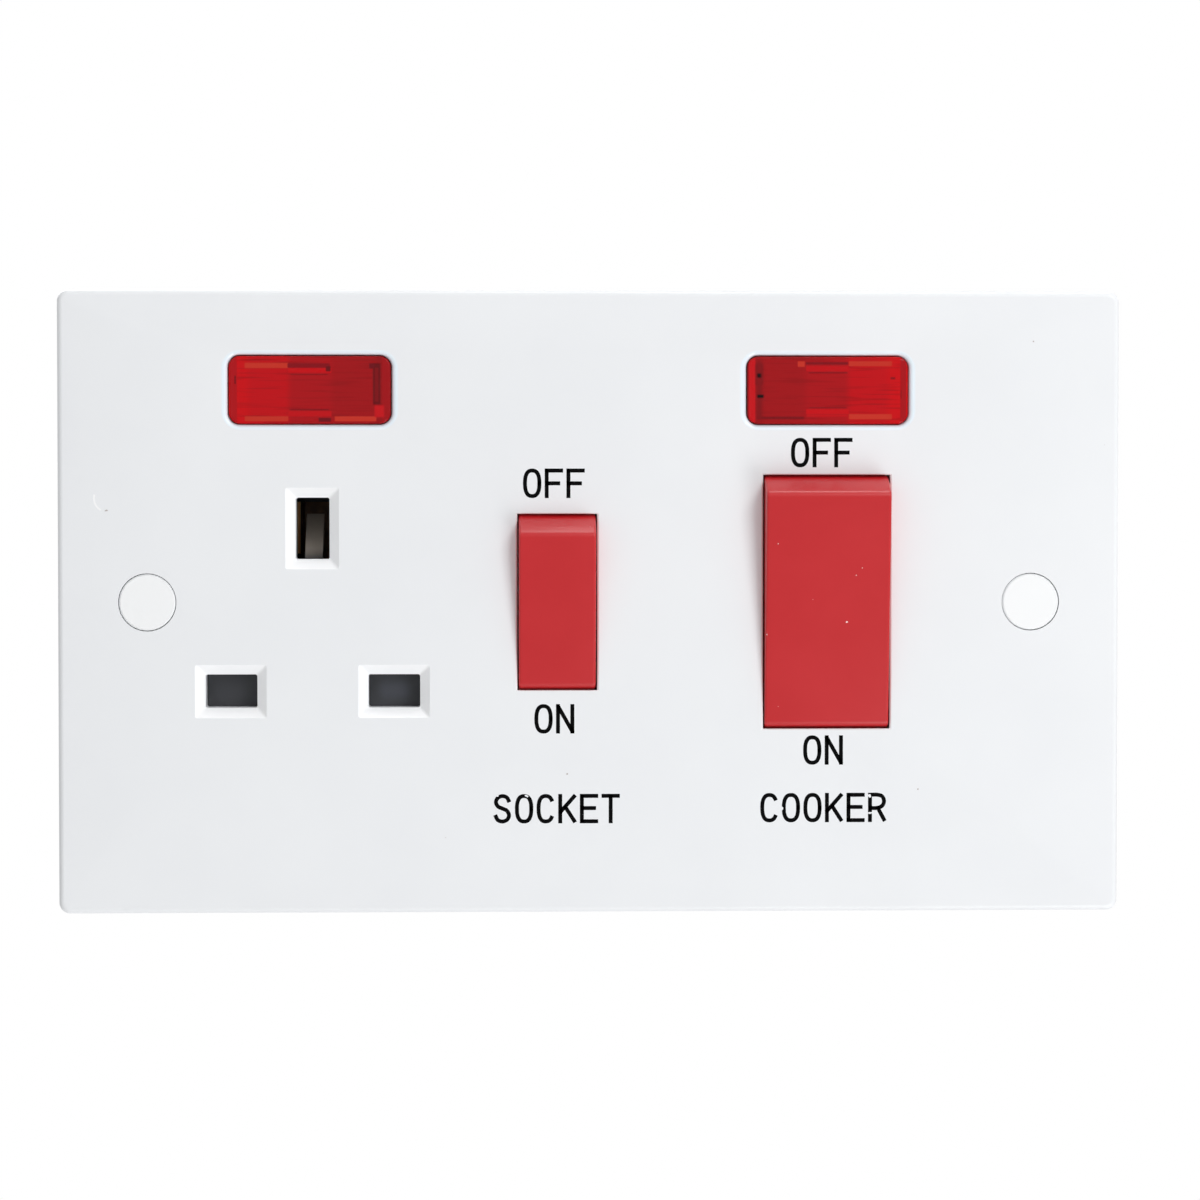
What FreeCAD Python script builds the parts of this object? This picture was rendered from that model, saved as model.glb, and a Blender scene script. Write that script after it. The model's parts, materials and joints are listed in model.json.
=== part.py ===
import FreeCAD, Part
import math
import os

# Twin-gang cooker control unit: a moulded wall plate with a large two-pole rocker for the cooker,
# a small two-pole rocker for a three-pin socket outlet, and a red neon lens above each of them.
# Millimetres. +X is right and +Z is up as the unit hangs on the wall, +Y runs into the wall.
# The origin is midway between the two fixing holes, on the plane where the plate meets the wall.

# Plate
plateWidth = 146.0
plateHeight = 86.0
plateDepth = 9.5
plateInset = 0.6          # draft of the side walls, each side
plateCorner = 1.5
plateEdge = 0.8           # round between the face and the sides
plateWall = 2.2
faceThickness = 2.5
fixingPitch = 120.6
fixingHoleRadius = 2.0
fixingPillarRadius = 5.25
capRadius = 3.85
capFit = 0.1
capRecessDepth = 4.0
capDepth = 3.4
capWall = 0.9
ribThickness = 1.4
rimBevel = 0.2            # broken edge of the rocker openings and the caps
ribReach = 5.0            # how far the plate's ribs stand off its inner face
frameToPillar = 3.4       # the stiffening frame's outside, from a fixing pillar's centre
frameHalfZ = 36.5
shortRibXs = (-46, -16, 14, 46)
shortRibZs = (-22, 0, 22)
bossRadius = 2.6          # bosses that take the housing's screws
root = 0.5                # how deep a rib or boss runs into the wall it stands on

# Rockers: centre, opening, half swing, depth of the pivot behind the face, and face to pivot
rockerPivotDepth = 6.0
rockerGap = 0.35          # between the rocker's round ends and the opening's
rockerSideGap = 0.2
rockerWall = 1.4
rockerEndRound = 0.9
rockerSideRound = 0.35
trunnionRadius = 1.5
trunnionFit = 0.05
trunnionLength = 2.1
lugThickness = 2.2
lugHalf = 4.0
cookerX = 32.3
cookerOpening = (17.4, 34.6)
cookerSwing = 7.0
cookerFaceDepth = 8.15
cookerPoleOffset = 5.5
socketX = -4.55
socketOpening = (10.9, 23.9)
socketSwing = 8.0
socketFaceDepth = 7.7
socketPoleOffset = 2.9
tubeReach = 6.0           # from the pivot back to the mouth of a plunger tube
plungerFit = 0.05

# Switch mechanism
contactTilt = 6.0         # half swing of a rocking contact
contactThickness = 1.2
contactBoss = 1.0         # boss behind the rocking contact that holds its groove
fulcrumRadius = 0.9
fulcrumFit = 0.05
plungerClearance = 0.05
plungerSpringTurns = 3
plungerWire = 0.2
rockingFaceY = 7.0        # front face of a level rocking contact
buttonHeight = 0.6
stripThickness = 1.0
strapWidth = 3.0
fixedStripY = 10.1        # front of the strips that carry the fixed contacts
supplyStripY = 11.6       # front of the strips that carry the fulcrums
linkY = 5.6               # front of the neutral link where it bridges the line strip
busTabZ = (-24.0, -13.6)  # tabs that lie on the supply terminals
busTabHalf = 2.4
busbarZ = (-12.2, -9.2)   # the bar between the two line fulcrums
linkZ = (-11.5, -9.0)
linkStepX = 12.0          # where the link steps back behind the line strip
linkRunZ = (-3.9, -1.5)
fulcrumTopZ = 1.2         # how far a supply strip runs past the rockers' axis
loadTabHalf = 2.3
loadTabZ = (12.4, 24.0)

# Socket outlet
socketAxisX = -37.9
earthZ = 10.05
earthSlot = (4.6, 8.4)
powerZ = -12.15
powerOffset = 11.1
powerSlot = (7.05, 4.55)
slotChamfer = 1.35
slotCorner = 0.3
padThickness = 2.1
pinGap = 4.2              # between the leaves that grip a pin
leafThickness = 0.8
shutterThickness = 2.0
shutterTravel = 6.0
shutterGap = 0.2
shutterBar = (31.4, 6.0)
stemHalf = 3.2
tongueHalf = 1.2
coverThickness = 1.8
springSeatZ = -27.0
springLedge = (6.4, 1.4)
springPegRadius = 0.8
springPegLength = 1.6
stemRailZ = (-5.5, 3.5)
barRailZ = (-22.5, -7.5)
powerChamber = (10.0, 8.9)
earthChamber = (8.0, 11.7)
padMargin = (4.4, 5.2)    # pads behind the pin slots, wider and higher than the slots
coverZ = (-22.4, 15.8)
jawFrontY = 0.5
jawFlare = 0.7
strapRightX = -17.0
strapTopZ = 19.5
strapLeftX = -45.5
strapLineZ = 8.3

# Neon indicators
lensSize = (22.0, 9.2)
lensCorner = 1.5
lensGap = 0.1
lensFace = 1.5
lensWall = 1.0
lensFlange = 1.0
lensFlangeThickness = 1.2
lipRound = 0.7
lensZ = 28.9
cookerLensX = 32.4
socketLensX = -38.2
lampRadius = 2.3
lampLength = 12.2
lampOffset = 3.2          # the lamp sits to one side of its lens
holderWall = 1.0
holderFloor = 1.2
resistorRadius = 1.1
resistorLength = 6.0
leadRadius = 0.5
lensRibs = ((-6.0, 1), (-6.0, -1), (6.2, 1))   # light guides inside a lens, by its own hand
lensRibLength = 5.4
lensRibZ = (3.1, 3.75)
lampNose = 1.2

# Terminals
terminalOffset = 6.5      # from the cooker rocker's centre line
terminalHalf = 4.7
terminalInner = 14.5
terminalOuter = 27.0
terminalDepth = 11.0
boreRadius = 3.1
boreEnd = 1.5             # solid end behind a blind bore
terminalScrewRadius = 1.75
screwFit = 0.05
headFit = 0.2             # round a terminal screw's head
cableFit = 0.4            # the housing's cable holes, over the bores' radius
terminalScrewPitch = 5.2
screwHeadRadius = 2.6
screwHeadHeight = 1.9
earthBoreRadius = 2.4
earthBorePitch = 6.0
earthHalf = 6.0

# Rear housing
housingLeft = -54.8
housingRight = 52.8
housingHalfHeight = 29.4
housingWall = 1.8
floorThickness = 2.0
partition = 1.6
rearWall = 2.7
pocketGap = 0.2
assemblyGap = 0.6         # the housing stops this far short of the wall plane
housingCorner = 2.5
housingScrews = ((-51.2, 18.8), (-51.2, -25.4), (49.2, 18.8), (49.2, -25.4))
housingScrewRadius = 1.45
housingHeadRadius = 2.5
housingHeadHeight = 1.8
columnRadius = 3.6

# Planes and places that follow
frontY = -plateDepth
innerY = frontY + faceThickness
pivotY = frontY + rockerPivotDepth
padY = innerY + padThickness
shutterY = padY + shutterGap
coverY = shutterY + shutterThickness + 0.3
housingY = -assemblyGap
fulcrumY = rockingFaceY + contactThickness + contactBoss
fixedFloorY = fixedStripY + stripThickness
floorY = supplyStripY + stripThickness
terminalY = floorY
boreY = terminalY + 2.0 + boreRadius
terminalRearY = terminalY + terminalDepth
rearY = terminalRearY + 0.1 + rearWall
earthContactY = 13.4
earthBlockY = earthContactY + stripThickness
earthBoreY = earthBlockY + 1.4 + earthBoreRadius
lineX = socketAxisX + powerOffset
neutralX = socketAxisX - powerOffset
lampY = -1.6
holderFloorY = 2.2
flangeY = innerY + lensFlangeThickness


def box(x0, x1, y0, y1, z0, z1):
    return Part.makeBox(x1 - x0, y1 - y0, z1 - z0, FreeCAD.Vector(x0, y0, z0))


def block(x, z, width, height, y0, y1):
    return box(x - width / 2, x + width / 2, y0, y1, z - height / 2, z + height / 2)


def rod(radius, x, z, y0, y1):
    """A cylinder along Y."""
    return Part.makeCylinder(radius, y1 - y0, FreeCAD.Vector(x, y0, z), FreeCAD.Vector(0, 1, 0))


def rodX(radius, x0, x1, y, z):
    return Part.makeCylinder(radius, x1 - x0, FreeCAD.Vector(x0, y, z), FreeCAD.Vector(1, 0, 0))


def rodZ(radius, x, y, z0, z1):
    return Part.makeCylinder(radius, z1 - z0, FreeCAD.Vector(x, y, z0), FreeCAD.Vector(0, 0, 1))


def roundedWire(x, z, width, height, corner, y):
    """A rounded rectangle in a plane parallel to the face."""
    halfX = width / 2 - corner
    halfZ = height / 2 - corner
    edges = []
    corners = ((halfX, halfZ), (-halfX, halfZ), (-halfX, -halfZ), (halfX, -halfZ))
    for quarter, (dx, dz) in enumerate(corners):
        centre = FreeCAD.Vector(x + dx, y, z + dz)
        angles = [math.radians(90 * quarter + step) for step in (0, 45, 90)]
        arc = [centre + FreeCAD.Vector(corner * math.cos(a), 0, corner * math.sin(a)) for a in angles]
        if edges:
            edges.append(Part.LineSegment(last, arc[0]).toShape())
        else:
            first = arc[0]
        edges.append(Part.Arc(*arc).toShape())
        last = arc[2]
    edges.append(Part.LineSegment(last, first).toShape())
    return Part.Wire(edges)


def slab(x, z, width, height, corner, y0, y1):
    face = Part.Face(roundedWire(x, z, width, height, corner, y0))
    return face.extrude(FreeCAD.Vector(0, y1 - y0, 0))


def funnel(x, z, size, grow, corner, y0, y1):
    """A rectangle with eased corners that narrows by grow on every side between y0 and y1."""
    wide = roundedWire(x, z, size[0] + 2 * grow, size[1] + 2 * grow, corner, y0)
    narrow = roundedWire(x, z, size[0], size[1], corner, y1)
    return Part.makeLoft([wide, narrow], True, True)


def sideProfile(points, x0, x1):
    """A closed outline of (y, z) points, drawn along X."""
    corners = [FreeCAD.Vector(x0, y, z) for y, z in points]
    outline = Part.makePolygon(corners + corners[:1])
    return Part.Face(outline).extrude(FreeCAD.Vector(x1 - x0, 0, 0))


def strip(points, width, y, thickness=stripThickness):
    """A flat strip through (x, z) points whose runs lie along X or Z."""
    runs = []
    for (x0, z0), (x1, z1) in zip(points, points[1:]):
        half = width / 2
        lowX, highX = sorted((x0, x1))
        lowZ, highZ = sorted((z0, z1))
        runs.append(box(lowX - half, highX + half, y, y + thickness, lowZ - half, highZ + half))
    return join(runs)


def join(shapes):
    if len(shapes) == 1:
        return shapes[0]
    return shapes[0].multiFuse(shapes[1:]).removeSplitter()


def edgesIn(shape, y, x=None, z=None, reachX=1e6, reachZ=1e6):
    """Edges that lie in the plane y, within reach of a place."""
    found = []
    for edge in shape.Edges:
        limits = edge.BoundBox
        centre = edge.CenterOfMass
        if abs(limits.YMin - y) > 1e-4 or abs(limits.YMax - y) > 1e-4:
            continue
        if x is not None and (abs(centre.x - x) > reachX or abs(centre.z - z) > reachZ):
            continue
        found.append(edge)
    return found


def turned(shape, degrees, x, y, z):
    """The shape turned about an axis along X."""
    result = shape.copy()
    result.rotate(FreeCAD.Vector(x, y, z), FreeCAD.Vector(1, 0, 0), degrees)
    return result


def coil(length, meanRadius, wireRadius, turns, sides):
    """A compression spring that stands on the origin along Z, its wire drawn with few sides."""
    height = length - 2 * wireRadius
    helix = Part.makeHelix(height / turns, height, meanRadius)
    corners = []
    for side in range(sides + 1):
        angle = 2 * math.pi * side / sides
        away = meanRadius + wireRadius * math.cos(angle)
        corners.append(FreeCAD.Vector(away, 0, wireRadius * math.sin(angle)))
    pipe = Part.Wire(helix).makePipeShell([Part.makePolygon(corners)], True, True)
    pipe.translate(FreeCAD.Vector(0, 0, wireRadius))
    return pipe


def openingRadius(opening):
    """The rocker opening's ends are rounds about the pivot, so that the gap never changes."""
    return math.hypot(opening[1] / 2, rockerPivotDepth)


rockers = {
    "cooker": {
        "x": cookerX, "opening": cookerOpening, "swing": cookerSwing, "face": cookerFaceDepth,
        "pole": cookerPoleOffset, "tube": 2.6, "plunger": 1.75, "chamber": 9.6, "chamberEnd": 12.7,
        "contact": (4.4, 7.4), "button": 6.2, "buttonRadius": 1.3,
    },
    "socket": {
        "x": socketX, "opening": socketOpening, "swing": socketSwing, "face": socketFaceDepth,
        "pole": socketPoleOffset, "tube": 2.0, "plunger": 1.3, "chamber": 6.2, "chamberEnd": 13.2,
        "contact": (3.4, 5.2), "button": 4.1, "buttonRadius": 1.0,
    },
}
lenses = {"cooker": (cookerLensX, 1), "socket": (socketLensX, -1)}
poles = {"line": -1, "neutral": 1}


def poleX(switch, pole):
    return rockers[switch]["x"] + poles[pole] * rockers[switch]["pole"]


def terminalX(pole):
    return cookerX + poles[pole] * terminalOffset


def plateShell():
    """The plate's drafted shell with its rounded face."""
    back = roundedWire(0, 0, plateWidth, plateHeight, plateCorner, 0)
    face = roundedWire(0, 0, plateWidth - 2 * plateInset, plateHeight - 2 * plateInset, plateCorner, frontY)
    shell = Part.makeLoft([back, face], True, True)
    shell = shell.makeFillet(plateEdge, edgesIn(shell, frontY))
    wall = 2 * plateWall
    hollow = slab(0, 0, plateWidth - wall, plateHeight - wall, plateCorner / 2, innerY, 1)
    return shell.cut(hollow)


def plateRibs():
    """Fixing pillars, a stiffening frame and short ribs from it to the plate's edge."""
    ribEnd = innerY + ribReach
    frameX = fixingPitch / 2 - frameToPillar
    start = innerY - root
    half = ribThickness / 2
    frame = slab(0, 0, 2 * frameX, 2 * frameHalfZ, 1.5, start, ribEnd)
    width, height = 2 * (frameX - ribThickness), 2 * (frameHalfZ - ribThickness)
    frame = frame.cut(slab(0, 0, width, height, 1, start - root, ribEnd + 1))
    pieces = [frame]
    reachZ = plateHeight / 2 - plateWall + root
    reachX = plateWidth / 2 - plateWall + root
    for side in (-1, 1):
        pieces.append(rod(fixingPillarRadius, side * fixingPitch / 2, 0, start, 0))
        for x in shortRibXs:
            z0, z1 = sorted((side * (frameHalfZ - root), side * reachZ))
            pieces.append(box(x - half, x + half, start, ribEnd, z0, z1))
        for z in shortRibZs:
            x0, x1 = sorted((side * (frameX - root), side * reachX))
            pieces.append(box(x0, x1, start, ribEnd, z - half, z + half))
    for x, z in housingScrews:
        pieces.append(rod(bossRadius, x, z, start, housingY))
    return pieces


def rockerLugs():
    """A pair of lugs behind each rocker opening; their slots open to the rear."""
    pieces = []
    for rocker in rockers.values():
        inner = rocker["opening"][0] / 2 + 0.05
        for side in (-1, 1):
            x0, x1 = sorted((rocker["x"] + side * inner, rocker["x"] + side * (inner + lugThickness)))
            lug = box(x0, x1, innerY - root, housingY - 0.4, -lugHalf, lugHalf)
            bearing = trunnionRadius + trunnionFit
            slot = box(x0 - 1, x1 + 1, pivotY, housingY, -bearing, bearing)
            lug = lug.cut(slot).cut(rodX(bearing, x0 - 1, x1 + 1, pivotY, 0))
            pieces.append(lug)
    return pieces


def pinPlaces():
    """Each pin slot's centre and size."""
    return (
        (lineX, powerZ, powerSlot),
        (neutralX, powerZ, powerSlot),
        (socketAxisX, earthZ, earthSlot),
    )


def shutterGuides():
    """Pads behind the pin slots, rails beside the shutter, the spring's seat and posts for the cover."""
    pieces = []
    for x, z, (width, height) in pinPlaces():
        pieces.append(slab(x, z, width + padMargin[0], height + padMargin[1], 1, innerY - root, padY))
    for side in (-1, 1):
        rail = stemHalf + shutterGap
        x0, x1 = sorted((socketAxisX + side * rail, socketAxisX + side * (rail + ribThickness)))
        pieces.append(box(x0, x1, innerY - root, coverY, *stemRailZ))
        rail = shutterBar[0] / 2 + shutterGap
        x0, x1 = sorted((socketAxisX + side * rail, socketAxisX + side * (rail + ribThickness)))
        pieces.append(box(x0, x1, innerY - root, coverY, *barRailZ))
    width, height = springLedge
    pieces.append(block(socketAxisX, springSeatZ - height / 2, width, height, innerY - root, coverY))
    top = springSeatZ + springPegLength
    pieces.append(rodZ(springPegRadius, socketAxisX, springCentreY(), springSeatZ - root, top))
    return pieces


def springCentreY():
    return coverY - 0.3 - shutterSpring["radius"] - shutterSpring["wire"]


shutterSpring = {"radius": 1.25, "wire": 0.22, "turns": 6}


def makeFrontPlate():
    plate = join([plateShell()] + plateRibs() + rockerLugs() + shutterGuides())
    cuts = []
    for side in (-1, 1):
        x = side * fixingPitch / 2
        cuts.append(rod(fixingHoleRadius, x, 0, frontY - 1, 1))
        cuts.append(rod(capRadius + capFit, x, 0, frontY - 1, frontY + capRecessDepth))
    for x, z in housingScrews:
        cuts.append(rod(housingScrewRadius + screwFit, x, z, innerY + 0.7, 1))
    for rocker in rockers.values():
        opening = rocker["opening"]
        reach = openingRadius(opening)
        half = opening[0] / 2
        drum = rodX(reach, rocker["x"] - half, rocker["x"] + half, pivotY, 0)
        window = block(rocker["x"], 0, opening[0], 2 * reach + 2, frontY - 1, innerY + 0.01)
        cuts.append(drum.common(window))
    for x, z, size in pinPlaces():
        cuts.append(slab(x, z, size[0], size[1], slotCorner, frontY - 1, padY + 1))
        cuts.append(funnel(x, z, size, slotChamfer, slotCorner, frontY, frontY + slotChamfer))
    for x, _ in lenses.values():
        width, height = (side + 2 * lensGap for side in lensSize)
        cuts.append(slab(x, lensZ, width, height, lensCorner + lensGap, frontY - 1, innerY + 1))
    plate = plate.cut(Part.Compound(cuts))
    lips = []
    for x, _ in lenses.values():
        lips += edgesIn(plate, frontY, x, lensZ, lensSize[0] / 2 + 1, lensSize[1] / 2 + 1)
    plate = plate.makeFillet(lipRound, lips)
    rims = []
    for rocker in rockers.values():
        width, height = rocker["opening"]
        rims += edgesIn(plate, frontY, rocker["x"], 0, width / 2 + 0.5, height / 2 + 0.5)
    return plate.makeChamfer(rimBevel, rims)


def makeCap(side):
    """A push-in cap, hollow behind, flush with the face."""
    x = side * fixingPitch / 2
    cap = rod(capRadius, x, 0, frontY, frontY + capDepth)
    cap = cap.makeChamfer(rimBevel, edgesIn(cap, frontY))
    return cap.cut(rod(capRadius - capWall, x, 0, frontY + 1.2, frontY + capDepth + 1))


def rockerOutline(radius, face, rear, x):
    """Flat front, round ends about the pivot, flat rear, as a face in the plane x."""
    halfFront = math.sqrt(radius ** 2 - face ** 2)
    halfRear = math.sqrt(radius ** 2 - rear ** 2)
    middle = (math.atan2(halfFront, -face) + math.atan2(halfRear, rear)) / 2
    front = FreeCAD.Vector(x, pivotY - face, halfFront)
    back = FreeCAD.Vector(x, pivotY + rear, halfRear)
    bulge = FreeCAD.Vector(x, pivotY + radius * math.cos(middle), radius * math.sin(middle))
    lowFront, lowBulge, lowBack = (FreeCAD.Vector(p.x, p.y, -p.z) for p in (front, bulge, back))
    edges = [
        Part.Arc(front, bulge, back).toShape(),
        Part.LineSegment(back, lowBack).toShape(),
        Part.Arc(lowBack, lowBulge, lowFront).toShape(),
        Part.LineSegment(lowFront, front).toShape(),
    ]
    return Part.Face(Part.Wire(edges))


def makeRocker(name):
    """A hollow rocker drawn level, with trunnions and two plunger tubes, then tilted to ON."""
    rocker = rockers[name]
    x = rocker["x"]
    half = rocker["opening"][0] / 2 - rockerSideGap
    radius = openingRadius(rocker["opening"]) - rockerGap
    face = rocker["face"]
    body = rockerOutline(radius, face, -0.5, x - half).extrude(FreeCAD.Vector(2 * half, 0, 0))
    level = pivotY - face
    ends = [e for e in edgesIn(body, level) if e.BoundBox.ZLength < 1e-4]
    body = body.makeFillet(rockerEndRound, ends)
    sides = [e for e in body.Edges if e.BoundBox.XLength < 1e-4 and e.BoundBox.YMax < pivotY - 2.5]
    body = body.makeFillet(rockerSideRound, sides)
    inner = rockerOutline(radius - rockerWall, face - rockerWall, 1, x - half + rockerWall)
    body = body.cut(inner.extrude(FreeCAD.Vector(2 * (half - rockerWall), 0, 0)))
    pieces = [body]
    for side in (-1, 1):
        x0, x1 = sorted((x + side * (half - rockerWall), x + side * half))
        pieces.append(rodX(3.4, x0, x1, pivotY, 0))
        x0, x1 = sorted((x + side * (half - 0.5), x + side * (half + trunnionLength)))
        pieces.append(rodX(trunnionRadius, x0, x1, pivotY, 0))
        tubeX = x + side * rocker["pole"]
        pieces.append(rod(rocker["tube"], tubeX, 0, level + rockerWall - 0.3, pivotY + tubeReach))
    body = join(pieces)
    for side in (-1, 1):
        bore = rocker["plunger"] + plungerFit
        tubeX = x + side * rocker["pole"]
        body = body.cut(rod(bore, tubeX, 0, pivotY - springSeat(name), pivotY + tubeReach + 1))
    return turned(body, rocker["swing"], x, pivotY, 0)


def springSeat(name):
    """How far before the pivot the bottom of a plunger tube lies."""
    return rockers[name]["face"] - 2 * rockerWall


def plungerShoulder():
    return pivotY + 1.2


def plungerTip(name):
    """The centre of a plunger's round tip, which just clears a level rocking contact."""
    return rockingFaceY - plungerClearance - rockers[name]["plunger"]


def makePlunger(name, pole):
    rocker = rockers[name]
    x = poleX(name, pole)
    radius = rocker["plunger"]
    tip = plungerTip(name)
    centre = FreeCAD.Vector(x, tip, 0)
    parts = [
        rod(radius, x, 0, plungerShoulder(), tip),
        Part.makeSphere(radius, centre),
        rod(0.45 * radius, x, 0, pivotY - 2, plungerShoulder() + 0.5),
    ]
    return turned(join(parts), rocker["swing"], x, pivotY, 0)


def makePlungerSpring(name, pole):
    rocker = rockers[name]
    x = poleX(name, pole)
    wire = plungerWire
    seat = pivotY - springSeat(name)
    outer = rocker["plunger"] - 0.1
    spring = coil(plungerShoulder() - seat, outer - wire, wire, plungerSpringTurns, 4)
    spring.rotate(FreeCAD.Vector(0, 0, 0), FreeCAD.Vector(1, 0, 0), -90)
    spring.translate(FreeCAD.Vector(x, seat, 0))
    return turned(spring, rocker["swing"], x, pivotY, 0)


def makeRockingContact(name, pole):
    """A see-saw strip whose rear groove sits on the fulcrum; its upper button is closed at ON."""
    rocker = rockers[name]
    x = poleX(name, pole)
    width, reach = rocker["contact"]
    arm = rockingFaceY + contactThickness
    outline = [
        (rockingFaceY, -reach + 0.5), (rockingFaceY, reach - 0.5), (rockingFaceY + 0.5, reach),
        (arm, reach), (arm, 1.9), (fulcrumY, 1.6), (fulcrumY, -1.6), (arm, -1.9),
        (arm, -reach), (rockingFaceY + 0.5, -reach),
    ]
    contact = sideProfile(outline, x - width / 2, x + width / 2)
    groove = rodX(fulcrumRadius + fulcrumFit, x - width, x + width, fulcrumY, 0)
    button = rod(rocker["buttonRadius"], x, rocker["button"], arm - 0.2, arm + buttonHeight)
    contact = join([contact.cut(groove), button])
    return turned(contact, -contactTilt, x, fulcrumY, 0)


def fixedButton(name, pole):
    """The fixed button meets the closed rocking contact face to face, so it tilts with it."""
    rocker = rockers[name]
    x = poleX(name, pole)
    touch = rockingFaceY + contactThickness + buttonHeight
    button = rod(rocker["buttonRadius"] + 0.2, x, rocker["button"], touch, touch + 1.2)
    return turned(button, -contactTilt, x, fulcrumY, 0)


def fulcrum(name, pole):
    x = poleX(name, pole)
    half = rockers[name]["contact"][0] / 2 + 0.3
    blade = box(x - half, x + half, fulcrumY, supplyStripY + 0.1, -fulcrumRadius, fulcrumRadius)
    return join([blade, rodX(fulcrumRadius, x - half, x + half, fulcrumY, 0)])


def tongue(x, z0, z1, half, y=supplyStripY):
    return box(x - half, x + half, y, y + stripThickness, z0, z1)


def tongueHalfWidth(name):
    return rockers[name]["contact"][0] / 2 - 0.9


def makeLineBusbar():
    """Supply strip of the line: terminal tab, both line fulcrums and the bar between them."""
    name = "cooker"
    x = poleX(name, "line")
    far = poleX("socket", "line")
    tab = tongue(terminalX("line"), busTabZ[0], busTabZ[1], busTabHalf)
    stem = tongue(x, busTabZ[1] - 0.2, fulcrumTopZ, tongueHalfWidth(name))
    bar = box(far - tongueHalfWidth("socket"), x, supplyStripY, floorY, busbarZ[0], busbarZ[1])
    rise = tongue(far, busbarZ[0], fulcrumTopZ, tongueHalfWidth("socket"))
    return join([tab, stem, bar, rise, fulcrum(name, "line"), fulcrum("socket", "line")])


def makeNeutralBusbar():
    x = poleX("cooker", "neutral")
    tab = tongue(terminalX("neutral"), busTabZ[0], busTabZ[1], busTabHalf)
    stem = tongue(x, busTabZ[1] - 0.2, fulcrumTopZ, tongueHalfWidth("cooker"))
    return join([tab, stem, fulcrum("cooker", "neutral")])


def makeNeutralLink():
    """Bridges in front of the line strip, from the neutral strip to the socket's neutral fulcrum."""
    start = poleX("cooker", "neutral")
    end = poleX("socket", "neutral")
    low, high = linkZ
    runLow, runHigh = linkRunZ
    behind = linkY + stripThickness
    foot = box(start - 1.2, start + 1.2, supplyStripY - stripThickness, supplyStripY, low, high)
    leg = box(start + 0.2, start + 1.2, linkY, supplyStripY, low, high)
    bridge = box(linkStepX, start + 1.2, linkY, behind, low, high)
    rise = box(linkStepX, linkStepX + 2.5, linkY, behind, low, runHigh)
    drop = box(linkStepX - stripThickness, linkStepX, linkY, floorY, runLow, runHigh)
    run = box(end - 1, linkStepX - 0.5, supplyStripY, floorY, runLow, runHigh)
    rest = tongue(end, runLow, fulcrumTopZ, tongueHalfWidth("socket"))
    return join([foot, leg, bridge, rise, drop, run, rest, fulcrum("socket", "neutral")])


def makeCookerContact(pole):
    """Fixed contact, a joggled strip and the tab on the load terminal."""
    x = (poleX("cooker", pole) + terminalX(pole)) / 2
    half = loadTabHalf
    z0, z1 = loadTabZ
    low = box(x - half, x + half, fixedStripY, fixedFloorY, 4.2, z0 + 0.6)
    step = box(x - half, x + half, fixedStripY, floorY, z0, z0 + stripThickness)
    tab = box(x - half, x + half, supplyStripY, floorY, z0, z1)
    return join([low, step, tab, fixedButton("cooker", pole)])


def terminalBlock(x, sign, half, boreXs, radius, y0, y1, centreY, screwZs):
    """A brass block with blind bores that open up or down, and screw holes from the rear."""
    z0, z1 = sorted((sign * terminalInner, sign * terminalOuter))
    body = box(x - half, x + half, y0, y1, z0, z1)
    b0, b1 = sorted((sign * (terminalInner + boreEnd), sign * (terminalOuter + 1)))
    for boreX in boreXs:
        body = body.cut(rodZ(radius, boreX, centreY, b0, b1))
        for z in screwZs:
            body = body.cut(rod(terminalScrewRadius + screwFit, boreX, sign * z, centreY, y1 + 1))
    return body


def cookerScrewZs():
    middle = (terminalInner + boreEnd + terminalOuter) / 2 + 0.1
    return (middle - terminalScrewPitch / 2, middle + terminalScrewPitch / 2)


def earthScrewZs():
    return ((terminalInner + boreEnd + terminalOuter) / 2,)


def earthBoreXs():
    return (socketAxisX - earthBorePitch / 2, socketAxisX + earthBorePitch / 2)


def makeTerminal(pole, sign):
    x = terminalX(pole)
    return terminalBlock(
        x, sign, terminalHalf, (x,), boreRadius, terminalY, terminalRearY, boreY, cookerScrewZs()
    )


def makeEarthTerminal():
    return terminalBlock(
        socketAxisX, -1, earthHalf, earthBoreXs(), earthBoreRadius, earthBlockY, terminalRearY,
        earthBoreY, earthScrewZs(),
    )


def terminalScrew(x, z, tipY):
    """A slotted screw, backed out so that the bore is clear."""
    head = terminalRearY + 0.5
    shank = rod(terminalScrewRadius, x, z, tipY, head + 0.2)
    cap = rod(screwHeadRadius, x, z, head, head + screwHeadHeight)
    slot = block(x, z, 2 * screwHeadRadius + 1, 0.8, head + screwHeadHeight - 1, head + 5)
    return join([shank, cap]).cut(slot)


def makeCookerTerminalScrews():
    screws = []
    for pole in poles:
        for sign in (-1, 1):
            for z in cookerScrewZs():
                screws.append(terminalScrew(terminalX(pole), sign * z, boreY + boreRadius + 0.2))
    return Part.Compound(screws)


def makeEarthTerminalScrews():
    tip = earthBoreY + earthBoreRadius + 0.2
    return Part.Compound([terminalScrew(x, -z, tip) for x in earthBoreXs() for z in earthScrewZs()])


def makeHousingScrews():
    """Pan-head screws that hold the housing to the plate's bosses."""
    screws = []
    seat = housingScrewSeat()
    for x, z in housingScrews:
        shank = rod(housingScrewRadius, x, z, innerY + 1.2, seat + 0.2)
        head = rod(housingHeadRadius, x, z, seat, seat + housingHeadHeight)
        cross = join([block(x, z, 3, 0.7, seat + 0.9, seat + 3), block(x, z, 0.7, 3, seat + 0.9, seat + 3)])
        screws.append(join([shank, head]).cut(cross))
    return Part.Compound(screws)


def housingScrewSeat():
    return housingY + 4.0


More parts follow.
